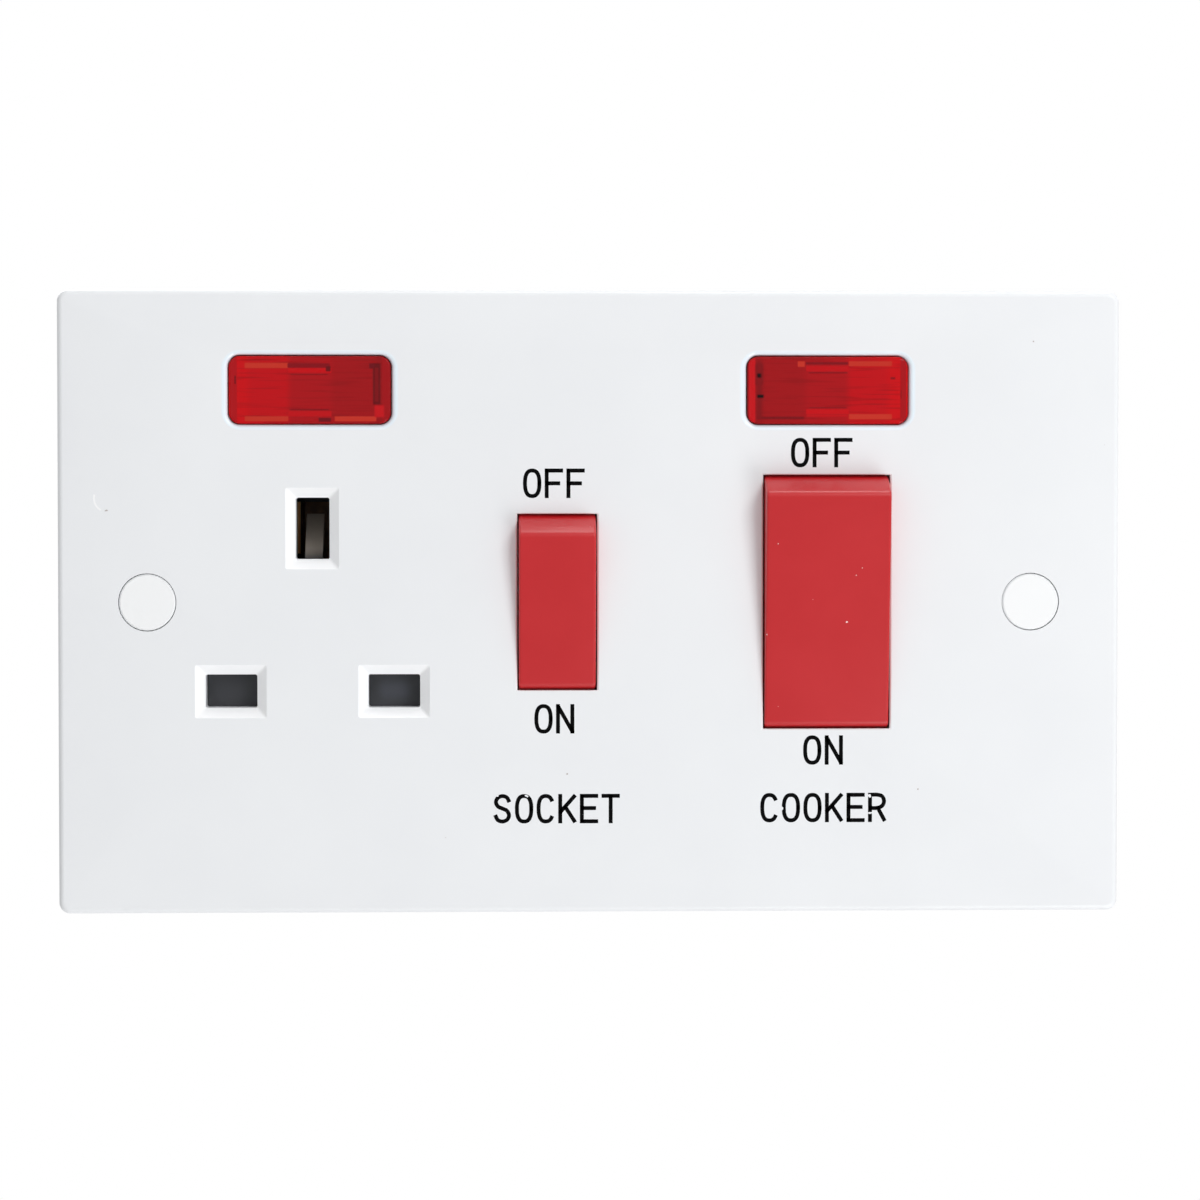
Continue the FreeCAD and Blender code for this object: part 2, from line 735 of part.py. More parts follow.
def jaws(x, z, pin, alongX, y0, y1):
    """Two spring leaves on a base; their tips flare to lead a pin in."""
    flare = jawFlare
    mouth = y0 + 1.6
    inner = pinGap / 2
    outer = inner + leafThickness
    leaf = [
        (y0, inner + flare), (y0, outer + flare), (mouth, outer), (y1 + 0.1, outer),
        (y1 + 0.1, inner), (mouth, inner),
    ]
    half = pin / 2 - 0.4
    pieces = []
    for side in (-1, 1):
        pieces.append(sideProfile([(y, side * w) for y, w in leaf], -half, half))
    pieces.append(box(-half, half, y1, y1 + stripThickness, -outer, outer))
    clip = join(pieces)
    if alongX:
        clip.rotate(FreeCAD.Vector(0, 0, 0), FreeCAD.Vector(0, 1, 0), 90)
    clip.translate(FreeCAD.Vector(x, 0, z))
    return clip


def makeSocketContact(pole):
    """Pin jaws, the strap along the housing and the socket switch's fixed contact."""
    x = poleX("socket", pole)
    if pole == "line":
        jaw = lineX
        route = [(jaw, powerZ), (strapRightX, powerZ), (strapRightX, strapLineZ), (x, strapLineZ)]
    else:
        jaw = neutralX
        route = [(jaw, powerZ), (strapLeftX, powerZ), (strapLeftX, strapTopZ), (x, strapTopZ)]
    drop = box(x - 1.6, x + 1.6, fixedStripY, fixedFloorY, 2.9, route[-1][1] + strapWidth / 2)
    return join([
        jaws(jaw, powerZ, 6.35, False, jawFrontY, fixedStripY),
        strip(route, strapWidth, fixedStripY),
        drop,
        fixedButton("socket", pole),
    ])


def makeEarthContact():
    strap = box(socketAxisX - 2, socketAxisX + 2, earthContactY, earthBlockY, -24, earthZ)
    clip = jaws(socketAxisX, earthZ, 8.0, True, jawFrontY + 0.5, earthContactY)
    return join([clip, strap])


def makeShutter():
    """Crossbar over the two power slots, a stem, and a sloping tongue under the earth slot."""
    y0, y1 = shutterY, shutterY + shutterThickness
    width, height = shutterBar
    bar = slab(socketAxisX, powerZ, width, height, 0.8, y0, y1)
    stem = box(socketAxisX - stemHalf, socketAxisX + stemHalf, y0, y1, powerZ, 5.2)
    foot = earthZ - earthSlot[1] / 2 + 0.15
    slope = [
        (y0, foot - 1.5), (y0, foot), (y0 + shutterTravel, foot + shutterTravel),
        (y0 + shutterTravel + 0.8, foot + shutterTravel), (y0 + shutterTravel + 0.8, foot + 4.4),
        (y1, foot - 0.4), (y1, foot - 1.5),
    ]
    wedge = sideProfile(slope, socketAxisX - tongueHalf, socketAxisX + tongueHalf)
    cutouts = [
        box(socketAxisX - 2, socketAxisX + 2, y0 - 1, y0 + 0.8, -6, 2),
    ]
    bottom = powerZ - height / 2
    centre = springCentreY()
    shelf = box(socketAxisX - 1.8, socketAxisX + 1.8, centre - 1.6, y1, bottom, bottom + 1)
    peg = rodZ(springPegRadius, socketAxisX, centre, bottom - springPegLength, bottom + root)
    return join([bar, stem, wedge, shelf, peg]).cut(Part.Compound(cutouts))


def makeShutterSpring():
    top = powerZ - shutterBar[1] / 2
    wire = shutterSpring["wire"]
    spring = coil(top - springSeatZ, shutterSpring["radius"], wire, shutterSpring["turns"], 4)
    spring.translate(FreeCAD.Vector(socketAxisX, springCentreY(), springSeatZ))
    return spring


def makeShutterCover():
    """A flat cover that keeps the shutter in its guides; the pins pass through it."""
    left = socketAxisX - shutterBar[0] / 2 - shutterGap - ribThickness
    width = 2 * (socketAxisX - left)
    y0, y1 = coverY, housingY
    low, high = coverZ
    cover = slab(socketAxisX, (low + high) / 2, width, high - low, 1.5, y0, y1)
    pillar = fixingPitch / 2
    cover = cover.cut(rod(fixingPillarRadius + 0.3, -pillar, 0, y0 - 1, y1 + 1))
    tail = slab(socketAxisX, (low + springSeatZ - 1.4) / 2, 8, low - springSeatZ + 3.4, 1, y0, y1)
    cover = join([cover, tail])
    for x, z, (slotWidth, slotHeight) in pinPlaces():
        cover = cover.cut(slab(x, z, slotWidth + 0.3, slotHeight + 0.3, 0.4, y0 - 1, y1 + 1))
    path = block(socketAxisX, 3.5, 2 * tongueHalf + 0.8, 10, y0 - 1, y1 + 1)
    return cover.cut(path)


def makeLens(name):
    """A moulded lens: thin face, skirt, rear flange and light-guide ribs inside."""
    x, hand = lenses[name]
    width, height = lensSize
    body = slab(x, lensZ, width, height, lensCorner, frontY, flangeY)
    body = body.makeFillet(0.3, edgesIn(body, frontY))
    flange = slab(x, lensZ, width + 2 * lensFlange, height + 2 * lensFlange, lensCorner, innerY, flangeY)
    wall = 2 * lensWall
    hollow = slab(x, lensZ, width - wall, height - wall, lensCorner - 0.8, frontY + lensFace, flangeY + 1)
    body = join([body, flange]).cut(hollow)
    ribs = []
    half = lensRibLength / 2
    for dx, dz in lensRibs:
        z0, z1 = sorted(lensZ + hand * dz * reach for reach in lensRibZ)
        centre = x - hand * dx
        ribs.append(box(centre - half, centre + half, frontY + lensFace - 0.2, flangeY, z0, z1))
    return join([body] + ribs)


def makeNeonHolder(name):
    """A white tray behind the lens, with cradles for the lamp and holes for its leads."""
    x, hand = lenses[name]
    width, height = lensSize[0] + 0.8, lensSize[1] + 0.8
    rear = holderFloorY + holderFloor
    tray = slab(x, lensZ, width, height, 1, flangeY, rear)
    wall = 2 * holderWall
    tray = tray.cut(slab(x, lensZ, width - wall, height - wall, 0.6, flangeY - 1, holderFloorY))
    lampX = x + hand * lampOffset
    cradles = []
    for offset in (-3.5, 3.5):
        cradles.append(box(lampX + offset - 0.5, lampX + offset + 0.5, lampY, holderFloorY + 0.2,
                           lensZ - 3, lensZ + 3))
    tray = join([tray] + cradles)
    tray = tray.cut(rodX(lampRadius + 0.05, lampX - lampLength, lampX + lampLength, lampY, lensZ))
    for point in (lead[0] for lead in leadRoutes(name)):
        tray = tray.cut(rod(leadRadius + 0.15, point[0], point[2], holderFloorY - 1, rear + 1))
    return tray


def makeLamp(name):
    """A sealed neon lamp: glass tube with drawn-in ends, and the pinch that its wires leave."""
    x, hand = lenses[name]
    centre = x + hand * lampOffset
    half = lampLength / 2
    tube = rodX(lampRadius, centre - half, centre + half, lampY, lensZ)
    tube = tube.makeChamfer(lampNose, [e for e in tube.Edges if e.BoundBox.XLength < 1e-4])
    x0, x1 = sorted((centre - hand * (half - 0.4), centre - hand * (half + 1.0)))
    return join([tube, block((x0 + x1) / 2, lensZ, x1 - x0, 2.6, lampY - 0.6, lampY + 0.6)])


def resistorX(name):
    x, hand = lenses[name]
    return x - hand * 8.2


def makeResistor(name):
    """The lamp's series resistor, across the free end of the tray."""
    x = resistorX(name)
    half = resistorLength / 2
    y = holderFloorY - resistorRadius - 0.05
    return rodZ(resistorRadius, x, y, lensZ - half, lensZ + half)


def leadRoutes(name):
    """The two leads, from the tray's floor to the switched line and neutral strips."""
    x, hand = lenses[name]
    start = lensZ - 3.4
    inner = holderFloorY - 0.6
    if name == "cooker":
        lineEnd = (terminalX("line") + 1, supplyStripY, 21)
        neutralEnd = (terminalX("neutral") - 1, supplyStripY, 21)
        bend = 8.2
        return (
            ((lineEnd[0], inner, start), (lineEnd[0], bend, start), (lineEnd[0], bend, 21), lineEnd),
            ((neutralEnd[0], inner, start), (neutralEnd[0], bend, start), (neutralEnd[0], bend, 21),
             neutralEnd),
        )
    bend = 6.8
    across = strapRightX
    return (
        ((x + 8, inner, start), (x + 8, bend, start), (across, bend, start), (across, bend, 7),
         (across, fixedStripY, 7)),
        ((x + 2, inner, start), (x + 2, bend, start), (x + 2, bend, strapTopZ),
         (x + 2, fixedStripY, strapTopZ)),
    )


def leadAlong(points):
    """A lead with straight runs and square elbows, six-sided to keep it light."""
    places = [FreeCAD.Vector(*point) for point in points]
    corners = []
    for side in range(7):
        angle = math.radians(60 * side)
        away = FreeCAD.Vector(leadRadius * math.cos(angle), 0, leadRadius * math.sin(angle))
        corners.append(places[0] + away)
    return Part.makePolygon(places).makePipeShell([Part.makePolygon(corners)], True, False, 1)


def makeLeads(name):
    return Part.Compound([leadAlong(points) for points in leadRoutes(name)])


def housingOutline():
    """The moulding's outer forms: tray, terminal towers, earth trough, neon shelves and columns."""
    middle = (housingLeft + housingRight) / 2
    width = housingRight - housingLeft
    trayRear = floorY + floorThickness
    tray = slab(middle, 0, width, 2 * housingHalfHeight, housingCorner, housingY, trayRear)
    pieces = [tray]
    towerHalf = terminalOffset + terminalHalf + pocketGap + housingWall
    inner = terminalInner - pocketGap - partition
    for sign in (-1, 1):
        z = sign * (inner + housingHalfHeight) / 2
        height = housingHalfHeight - inner
        pieces.append(slab(cookerX, z, 2 * towerHalf, height, 1.5, floorY, rearY))
    z = -(inner + housingHalfHeight) / 2
    earthWidth = 2 * (earthHalf + pocketGap + housingWall)
    pieces.append(slab(socketAxisX, z, earthWidth, housingHalfHeight - inner, 1.5, floorY, rearY))
    pieces.append(slab(socketAxisX, 1.2, 11.0, 32, 1.5, floorY, earthBlockY + floorThickness))
    for x, _ in lenses.values():
        shelfTop = lensZ + lensSize[1] / 2 + 2.6
        low = lensZ - lensSize[1] / 2 - 2.6
        pieces.append(slab(x, (low + shelfTop) / 2, lensSize[0] + 5, shelfTop - low, 2, housingY, 5.6))
    return join(pieces)


def housingHollow():
    """The space inside the tray's outer wall."""
    middle = (housingLeft + housingRight) / 2
    width = housingRight - housingLeft - 2 * housingWall
    height = 2 * (housingHalfHeight - housingWall)
    return slab(middle, 0, width, height, 1, housingY - 1, floorY)


def chamber(x, z, width, height):
    """A ring of partition wall that stands on the tray's floor."""
    outer = block(x, z, width + 2 * partition, height + 2 * partition, housingY, floorY + 0.5)
    return outer.cut(block(x, z, width, height, housingY - 1, floorY + 1))


def housingPartitions():
    """Walls inside the tray: switch chambers, pin chambers, terminal pockets and screw columns."""
    pieces = []
    for name, rocker in rockers.items():
        pieces.append(chamber(rocker["x"], 0, 2 * rocker["chamber"], 2 * rocker["chamberEnd"]))
        barrier = rocker["pole"] - rocker["tube"] - 0.3
        pieces.append(block(rocker["x"], 0, 2 * min(barrier, 1.0), 2 * rocker["chamberEnd"] + 1,
                            pivotY + tubeReach + 2.5, floorY + 0.5))
        for side in (-1, 1):
            x0 = rocker["chamber"] + 0.1
            x1 = rocker["opening"][0] / 2 - rockerSideGap + trunnionLength
            k0, k1 = sorted((rocker["x"] + side * x0, rocker["x"] + side * x1))
            keeper = box(k0, k1, pivotY + trunnionRadius + 0.15, housingY + 0.5, -1.2, 1.2)
            pieces.append(keeper)
    for x in (lineX, neutralX):
        pieces.append(chamber(x, powerZ, *powerChamber))
    pieces.append(chamber(socketAxisX, earthZ, *earthChamber))
    inner = terminalInner - pocketGap
    outer = terminalOuter + pocketGap
    length = outer - inner
    for sign in (-1, 1):
        z = sign * (inner + outer) / 2
        for pole in poles:
            pieces.append(chamber(terminalX(pole), z, 2 * (terminalHalf + pocketGap), length))
    z = -(inner + outer) / 2
    pieces.append(chamber(socketAxisX, z, 2 * (earthHalf + pocketGap), length))
    for x, z in housingScrews:
        pieces.append(rod(columnRadius, x, z, housingY, floorY + 0.5))
    return pieces


def housingLedges():
    """Low ribs under the strips, stops under the rocking contacts and a post under the link."""
    pieces = []
    for name, rocker in rockers.items():
        width, reach = rocker["contact"]
        for pole in poles:
            x = poleX(name, pole)
            pieces.append(block(x, rocker["button"] + 0.6, width - 1.2, 1.6, fixedFloorY, floorY + 0.5))
            inner = tongueHalfWidth(name) + 0.2
            rest = fulcrumY - contactBoss * math.cos(math.radians(contactTilt))
            rest += reach * math.sin(math.radians(contactTilt)) + 0.1
            for side in (-1, 1):
                x0, x1 = sorted((x + side * inner, x + side * width / 2))
                pieces.append(box(x0, x1, rest, floorY + 0.5, -reach - 0.4, -reach + 1.0))
    for x in (lineX, neutralX):
        pieces.append(block(x, powerZ, 4, 4, fixedFloorY, floorY + 0.5))
    for x, z, width, height in (
        (strapRightX, powerZ, 2.4, 1.6), (strapRightX, strapLineZ, 2.4, 1.6), (-12.8, strapLineZ, 1.2, 2.4),
        (strapLeftX, 4, 2.4, 1.6), (strapLeftX, strapTopZ, 2.4, 1.6), (-26, strapTopZ, 1.6, 2.4),
        (poleX("socket", "neutral"), strapTopZ, 2.4, 1.6),
    ):
        pieces.append(block(x, z, width, height, fixedFloorY, floorY + 0.5))
    pieces.append(block(13.2, -4, 2.0, 1.6, linkY + stripThickness, floorY + 0.5))
    return pieces


def housingPockets():
    """What is cut from the moulding last: pockets, notches for the strips, screw and cable holes."""
    cuts = []
    inner = terminalInner - pocketGap
    outer = terminalOuter + pocketGap
    length = outer - inner
    deep = terminalRearY + 0.1
    front = housingY - 1
    for pole in poles:
        x = terminalX(pole)
        stripX = (poleX("cooker", pole) + x) / 2
        for sign in (-1, 1):
            z = sign * (inner + outer) / 2
            cuts.append(block(x, z, 2 * (terminalHalf + pocketGap), length, front, deep))
            z0, z1 = sorted((sign * (outer - 1), sign * (housingHalfHeight + 1)))
            cuts.append(rodZ(boreRadius + cableFit, x, boreY, z0, z1))
            for screwZ in cookerScrewZs():
                cuts.append(rod(screwHeadRadius + headFit, x, sign * screwZ, deep - 1, rearY + 1))
        notch = loadTabHalf + pocketGap
        cuts.append(box(stripX - notch, stripX + notch, front, floorY, 12, inner + 1))
        tab = busTabHalf + pocketGap
        cuts.append(box(x - tab, x + tab, front, floorY, -inner - 1, -12))
    earthMiddle = -(inner + outer) / 2
    cuts.append(block(socketAxisX, earthMiddle, 2 * (earthHalf + pocketGap), length, front, deep))
    for x in earthBoreXs():
        cuts.append(rodZ(earthBoreRadius + cableFit, x, earthBoreY, -housingHalfHeight - 1, 1 - outer))
        for z in earthScrewZs():
            cuts.append(rod(screwHeadRadius + headFit, x, -z, deep - 1, rearY + 1))
    cuts.append(box(socketAxisX - 2.2, socketAxisX + 2.2, front, earthBlockY, -inner - 1, 6))
    cuts.append(block(socketAxisX, earthZ, 8.0, 11.7, front, earthBlockY))
    cuts += strapNotches()
    seat = housingScrewSeat()
    for x, z in housingScrews:
        cuts.append(rod(housingScrewRadius + 0.2, x, z, front, rearY))
        cuts.append(rod(2.75, x, z, seat, rearY))
    for x, _ in lenses.values():
        width, height = lensSize[0] + 1.2, lensSize[1] + 1.2
        cuts.append(slab(x, lensZ, width, height, 1.2, front, holderFloorY + 1.2))
    for name in lenses:
        for route in leadRoutes(name):
            x, _, z = route[0]
            cuts.append(rod(leadRadius + 0.4, x, z, front, 6.5))
    return cuts


def strapNotches():
    """Open slots where straps and the link pass through partition walls."""
    front = housingY - 1
    half = strapWidth / 2 + pocketGap
    line = poleX("socket", "line")
    neutral = poleX("socket", "neutral")
    return [
        box(lineX, strapRightX, front, fixedFloorY, powerZ - half, powerZ + half),
        box(strapRightX, line - 2, front, fixedFloorY, strapLineZ - half, strapLineZ + half),
        box(strapLeftX - half, strapLeftX + half, front, fixedFloorY, powerZ - half, strapTopZ),
        box(neutral - 1.8, neutral + 1.8, front, fixedFloorY, 10, strapTopZ + half),
        box(line, poleX("cooker", "line"), front, floorY, busbarZ[0] - pocketGap, busbarZ[1] + pocketGap),
        box(linkStepX, poleX("cooker", "neutral") + 1.4, front, linkY + stripThickness,
            linkZ[0] - pocketGap, linkZ[1] + pocketGap),
        box(0, linkStepX, front, floorY, linkRunZ[0] - pocketGap, linkRunZ[1] + 0.15),
    ]


def makeRearHousing():
    shell = housingOutline().cut(housingHollow())
    shell = join([shell] + housingPartitions() + housingLedges())
    return shell.cut(Part.Compound(housingPockets()))


def allParts():
    parts = {
        "front_plate": makeFrontPlate(),
        "rear_housing": makeRearHousing(),
        "shutter_cover": makeShutterCover(),
        "shutter": makeShutter(),
        "shutter_spring": makeShutterSpring(),
        "left_screw_cap": makeCap(-1),
        "right_screw_cap": makeCap(1),
        "line_busbar": makeLineBusbar(),
        "neutral_busbar": makeNeutralBusbar(),
        "neutral_link": makeNeutralLink(),
        "earth_contact": makeEarthContact(),
        "earth_terminal": makeEarthTerminal(),
        "cooker_terminal_screws": makeCookerTerminalScrews(),
        "earth_terminal_screws": makeEarthTerminalScrews(),
        "housing_screws": makeHousingScrews(),
    }
    for pole in poles:
        parts[f"supply_{pole}_terminal"] = makeTerminal(pole, -1)
        parts[f"load_{pole}_terminal"] = makeTerminal(pole, 1)
        parts[f"cooker_{pole}_contact"] = makeCookerContact(pole)
        parts[f"socket_{pole}_contact"] = makeSocketContact(pole)
    for name in rockers:
        parts[f"{name}_rocker"] = makeRocker(name)
        for pole in poles:
            parts[f"{name}_{pole}_plunger"] = makePlunger(name, pole)
            parts[f"{name}_{pole}_spring"] = makePlungerSpring(name, pole)
            parts[f"{name}_{pole}_rocking_contact"] = makeRockingContact(name, pole)
    for name in lenses:
        parts[f"{name}_neon_lens"] = makeLens(name)
        parts[f"{name}_neon_holder"] = makeNeonHolder(name)
        parts[f"{name}_neon_lamp"] = makeLamp(name)
        parts[f"{name}_neon_resistor"] = makeResistor(name)
        parts[f"{name}_neon_leads"] = makeLeads(name)
    return parts


os.makedirs("parts", exist_ok=True)
for node, shape in allParts().items():
    shape.exportStep(f"parts/{node}.step")
    print(node, "solids", len(shape.Solids), "volume", round(shape.Volume, 1), "valid", shape.isValid())
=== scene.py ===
# Cooker control unit: a white twin-gang wall plate with a large and a small red rocker, a shuttered
# three-pin outlet and two red neon lenses. Metres, +X right, +Z up, the room on the -Y side.
import json
import math

import bpy
import numpy as np
from mathutils import Matrix, Vector

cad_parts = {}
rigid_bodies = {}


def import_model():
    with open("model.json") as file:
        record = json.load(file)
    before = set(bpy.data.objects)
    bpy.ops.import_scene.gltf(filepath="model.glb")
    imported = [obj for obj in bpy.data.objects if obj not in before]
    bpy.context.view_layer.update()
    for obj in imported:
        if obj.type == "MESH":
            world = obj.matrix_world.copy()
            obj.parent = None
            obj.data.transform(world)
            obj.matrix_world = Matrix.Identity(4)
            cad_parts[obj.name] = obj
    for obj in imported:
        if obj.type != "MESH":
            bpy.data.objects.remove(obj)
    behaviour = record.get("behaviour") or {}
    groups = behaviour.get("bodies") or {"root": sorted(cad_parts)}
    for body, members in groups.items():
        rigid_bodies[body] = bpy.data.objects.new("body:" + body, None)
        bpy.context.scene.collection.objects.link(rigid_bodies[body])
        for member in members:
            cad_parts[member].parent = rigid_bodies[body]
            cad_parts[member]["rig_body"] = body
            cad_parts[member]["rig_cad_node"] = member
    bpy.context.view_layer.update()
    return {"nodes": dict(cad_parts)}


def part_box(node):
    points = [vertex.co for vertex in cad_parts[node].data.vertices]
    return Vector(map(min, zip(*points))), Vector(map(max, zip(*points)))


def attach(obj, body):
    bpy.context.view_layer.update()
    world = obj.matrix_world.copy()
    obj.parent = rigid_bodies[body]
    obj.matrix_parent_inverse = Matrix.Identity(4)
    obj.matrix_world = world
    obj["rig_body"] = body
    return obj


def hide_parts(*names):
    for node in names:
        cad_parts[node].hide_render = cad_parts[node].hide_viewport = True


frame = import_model()

mm = 0.001
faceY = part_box("front_plate")[0].y      # the plate's front face


def linear(hexColour):
    # "#RRGGBB" in sRGB to linear light, by the sRGB curve
    parts = [int(hexColour[i:i + 2], 16) / 255 for i in (1, 3, 5)]
    return [v / 12.92 if v <= 0.04045 else ((v + 0.055) / 1.055) ** 2.4 for v in parts] + [1.0]


def addNode(tree, kind, inputs=None, **settings):
    # one shader node: settings are its own properties, inputs are values or links by socket name
    node = tree.nodes.new(kind)
    for name, value in settings.items():
        setattr(node, name, value)
    for name, value in (inputs or {}).items():
        if isinstance(value, bpy.types.NodeSocket):
            tree.links.new(value, node.inputs[name])
        else:
            node.inputs[name].default_value = value
    return node


def newMaterial(name):
    # an empty node tree, its output, and the place on the object that patterns are drawn from
    material = bpy.data.materials.new(name)
    material.use_nodes = True
    tree = material.node_tree
    tree.nodes.clear()
    output = addNode(tree, "ShaderNodeOutputMaterial")
    place = addNode(tree, "ShaderNodeTexCoord").outputs["Object"]
    return material, tree, output, place


def barMask(tree, place, u0, u1, v0, v1, soft, corner=0.0):
    # 1 inside an upright oblong with round corners, 0 outside, sizes in mm: how far the place lies
    # from the oblong's core, which is smaller all round by the corners' radius
    corner = max(corner, soft)
    offset = addNode(tree, "ShaderNodeVectorMath", {
        0: place, 1: ((u0 + u1) / 2 * mm, 0, (v0 + v1) / 2 * mm)}, operation="SUBTRACT")
    size = addNode(tree, "ShaderNodeVectorMath", {0: offset.outputs[0]}, operation="ABSOLUTE")
    # the core is a metre deep, so that how deep the place lies never counts
    core = (((u1 - u0) / 2 - corner) * mm, 1.0, ((v1 - v0) / 2 - corner) * mm)
    beyond = addNode(tree, "ShaderNodeVectorMath", {
        0: size.outputs[0], 1: core}, operation="SUBTRACT")
    outside = addNode(tree, "ShaderNodeVectorMath", {0: beyond.outputs[0]}, operation="MAXIMUM")
    away = addNode(tree, "ShaderNodeVectorMath", {0: outside.outputs[0]}, operation="LENGTH")
    return addNode(tree, "ShaderNodeMapRange", {
        "Value": away.outputs["Value"], "From Min": (corner + soft) * mm,
        "From Max": (corner - soft) * mm}, interpolation_type="SMOOTHSTEP").outputs["Result"]


def meshObject(name, vertices, faces):
    # a flat-shaded mesh at the origin, its vertices in metres
    mesh = bpy.data.meshes.new(name)
    mesh.from_pydata(np.asarray(vertices).tolist(), [], faces)
    mesh.update()
    piece = bpy.data.objects.new(name, mesh)
    bpy.context.scene.collection.objects.link(piece)
    return piece


# what all moulded plastics share: the noises' detail, how much of a speck is full, where in the
# mottling the gloss turns, and how deep red, green and blue soak in, as shares of the look's depth
moulded = {"mottleDetail": 3.0, "mottleRoughness": 0.55, "grainDetail": 2.0, "grainRoughness": 0.6,
           "speckCore": 0.5, "glossFrom": 0.3, "glossTo": 0.7, "soak": (0.6, 0.35, 0.25)}


def mouldedPlastic(tree, place, look):
    # slow mottling between two near tones, and a fine bump left by the mould's surface
    slow = addNode(tree, "ShaderNodeTexNoise", {
        "Vector": place, "Scale": 1 / (look["mottleMm"] * mm), "Detail": moulded["mottleDetail"],
        "Roughness": moulded["mottleRoughness"]})
    tones = [(slow.outputs["Fac"], look["drift"])]
    if "speckColour" in look:       # dust and pin-holes, a tenth or two of a millimetre across
        cells = addNode(tree, "ShaderNodeTexVoronoi", {
            "Vector": place, "Scale": 1 / (look["speckPitchMm"] * mm), "Randomness": 1.0})
        radius = look["speckMm"] / look["speckPitchMm"]
        spot = addNode(tree, "ShaderNodeMapRange", {
            "Value": cells.outputs["Distance"], "From Min": radius,
            "From Max": radius * moulded["speckCore"], "To Max": look["speckStrength"]})
        tones.append((spot.outputs["Result"], look["speckColour"]))
    grain = addNode(tree, "ShaderNodeTexNoise", {
        "Vector": place, "Scale": 1 / (look["grainMm"] * mm), "Detail": moulded["grainDetail"],
        "Roughness": moulded["grainRoughness"]})
    bump = addNode(tree, "ShaderNodeBump", {
        "Height": grain.outputs["Fac"], "Strength": look["grainStrength"],
        "Distance": look["grainDepthMm"] * mm})
    gloss = addNode(tree, "ShaderNodeMapRange", {
        "Value": slow.outputs["Fac"],
        "From Min": moulded["glossFrom"], "From Max": moulded["glossTo"],
        "To Min": look["roughness"] - look["roughnessSpread"],
        "To Max": look["roughness"] + look["roughnessSpread"]})
    glow = look.get("glow", 0)          # light that soaks a little way into the body
    return tones, {
        "Roughness": gloss.outputs["Result"], "Normal": bump.outputs["Normal"], "IOR": look["ior"],
        "Specular IOR Level": look.get("specular", 0.5), "Subsurface Weight": glow,
        "Subsurface Radius": moulded["soak"], "Subsurface Scale": look.get("glowMm", 1.0) * mm}


# what all drawn metals share: the noises' detail, where the tarnish starts and is full, where in
# it the gloss turns and by how much it dulls, and how strongly the lines show
drawn = {"lineDetail": 2.0, "tarnishDetail": 4.0, "tarnishRoughness": 0.6, "tarnishFrom": 0.35,
         "tarnishTo": 0.75, "glossFrom": 0.3, "glossTo": 0.7, "dulling": 0.18, "lineStrength": 0.35}


def drawnMetal(tree, place, look):
    # lines stretched along the way the metal was drawn or turned, over slow tarnish
    stretched = addNode(tree, "ShaderNodeMapping", {"Vector": place, "Scale": look["stretch"]})
    lines = addNode(tree, "ShaderNodeTexNoise", {
        "Vector": stretched.outputs["Vector"], "Scale": 1 / (look["lineMm"] * mm),
        "Detail": drawn["lineDetail"]})
    tarnish = addNode(tree, "ShaderNodeTexNoise", {
        "Vector": place, "Scale": 1 / (look["tarnishMm"] * mm), "Detail": drawn["tarnishDetail"],
        "Roughness": drawn["tarnishRoughness"]})
    spread = addNode(tree, "ShaderNodeMapRange", {
        "Value": tarnish.outputs["Fac"], "From Min": drawn["tarnishFrom"],
        "From Max": drawn["tarnishTo"]})
    gloss = addNode(tree, "ShaderNodeMapRange", {
        "Value": tarnish.outputs["Fac"],
        "From Min": drawn["glossFrom"], "From Max": drawn["glossTo"],
        "To Min": look["roughness"], "To Max": look["roughness"] + drawn["dulling"]})
    bump = addNode(tree, "ShaderNodeBump", {
        "Height": lines.outputs["Fac"], "Strength": drawn["lineStrength"],
        "Distance": look["lineDepthMm"] * mm})
    return [(spread.outputs["Result"], look["drift"])], {
        "Metallic": 1 - look.get("film", 0), "Roughness": gloss.outputs["Result"],
        "Normal": bump.outputs["Normal"]}


# what the clear bodies share: the flow's detail and bump, then the streaks' detail, their scale
# along each axis, the noise at which they start and are full, and how much dye they hide at most
clear = {"flowDetail": 2.0, "bumpStrength": 0.2, "bumpMm": 0.01, "streakDetail": 1.0,
         "streakScale": (0.05, 1, 1), "streakFrom": 0.52, "streakTo": 0.72, "streakMost": 0.5}


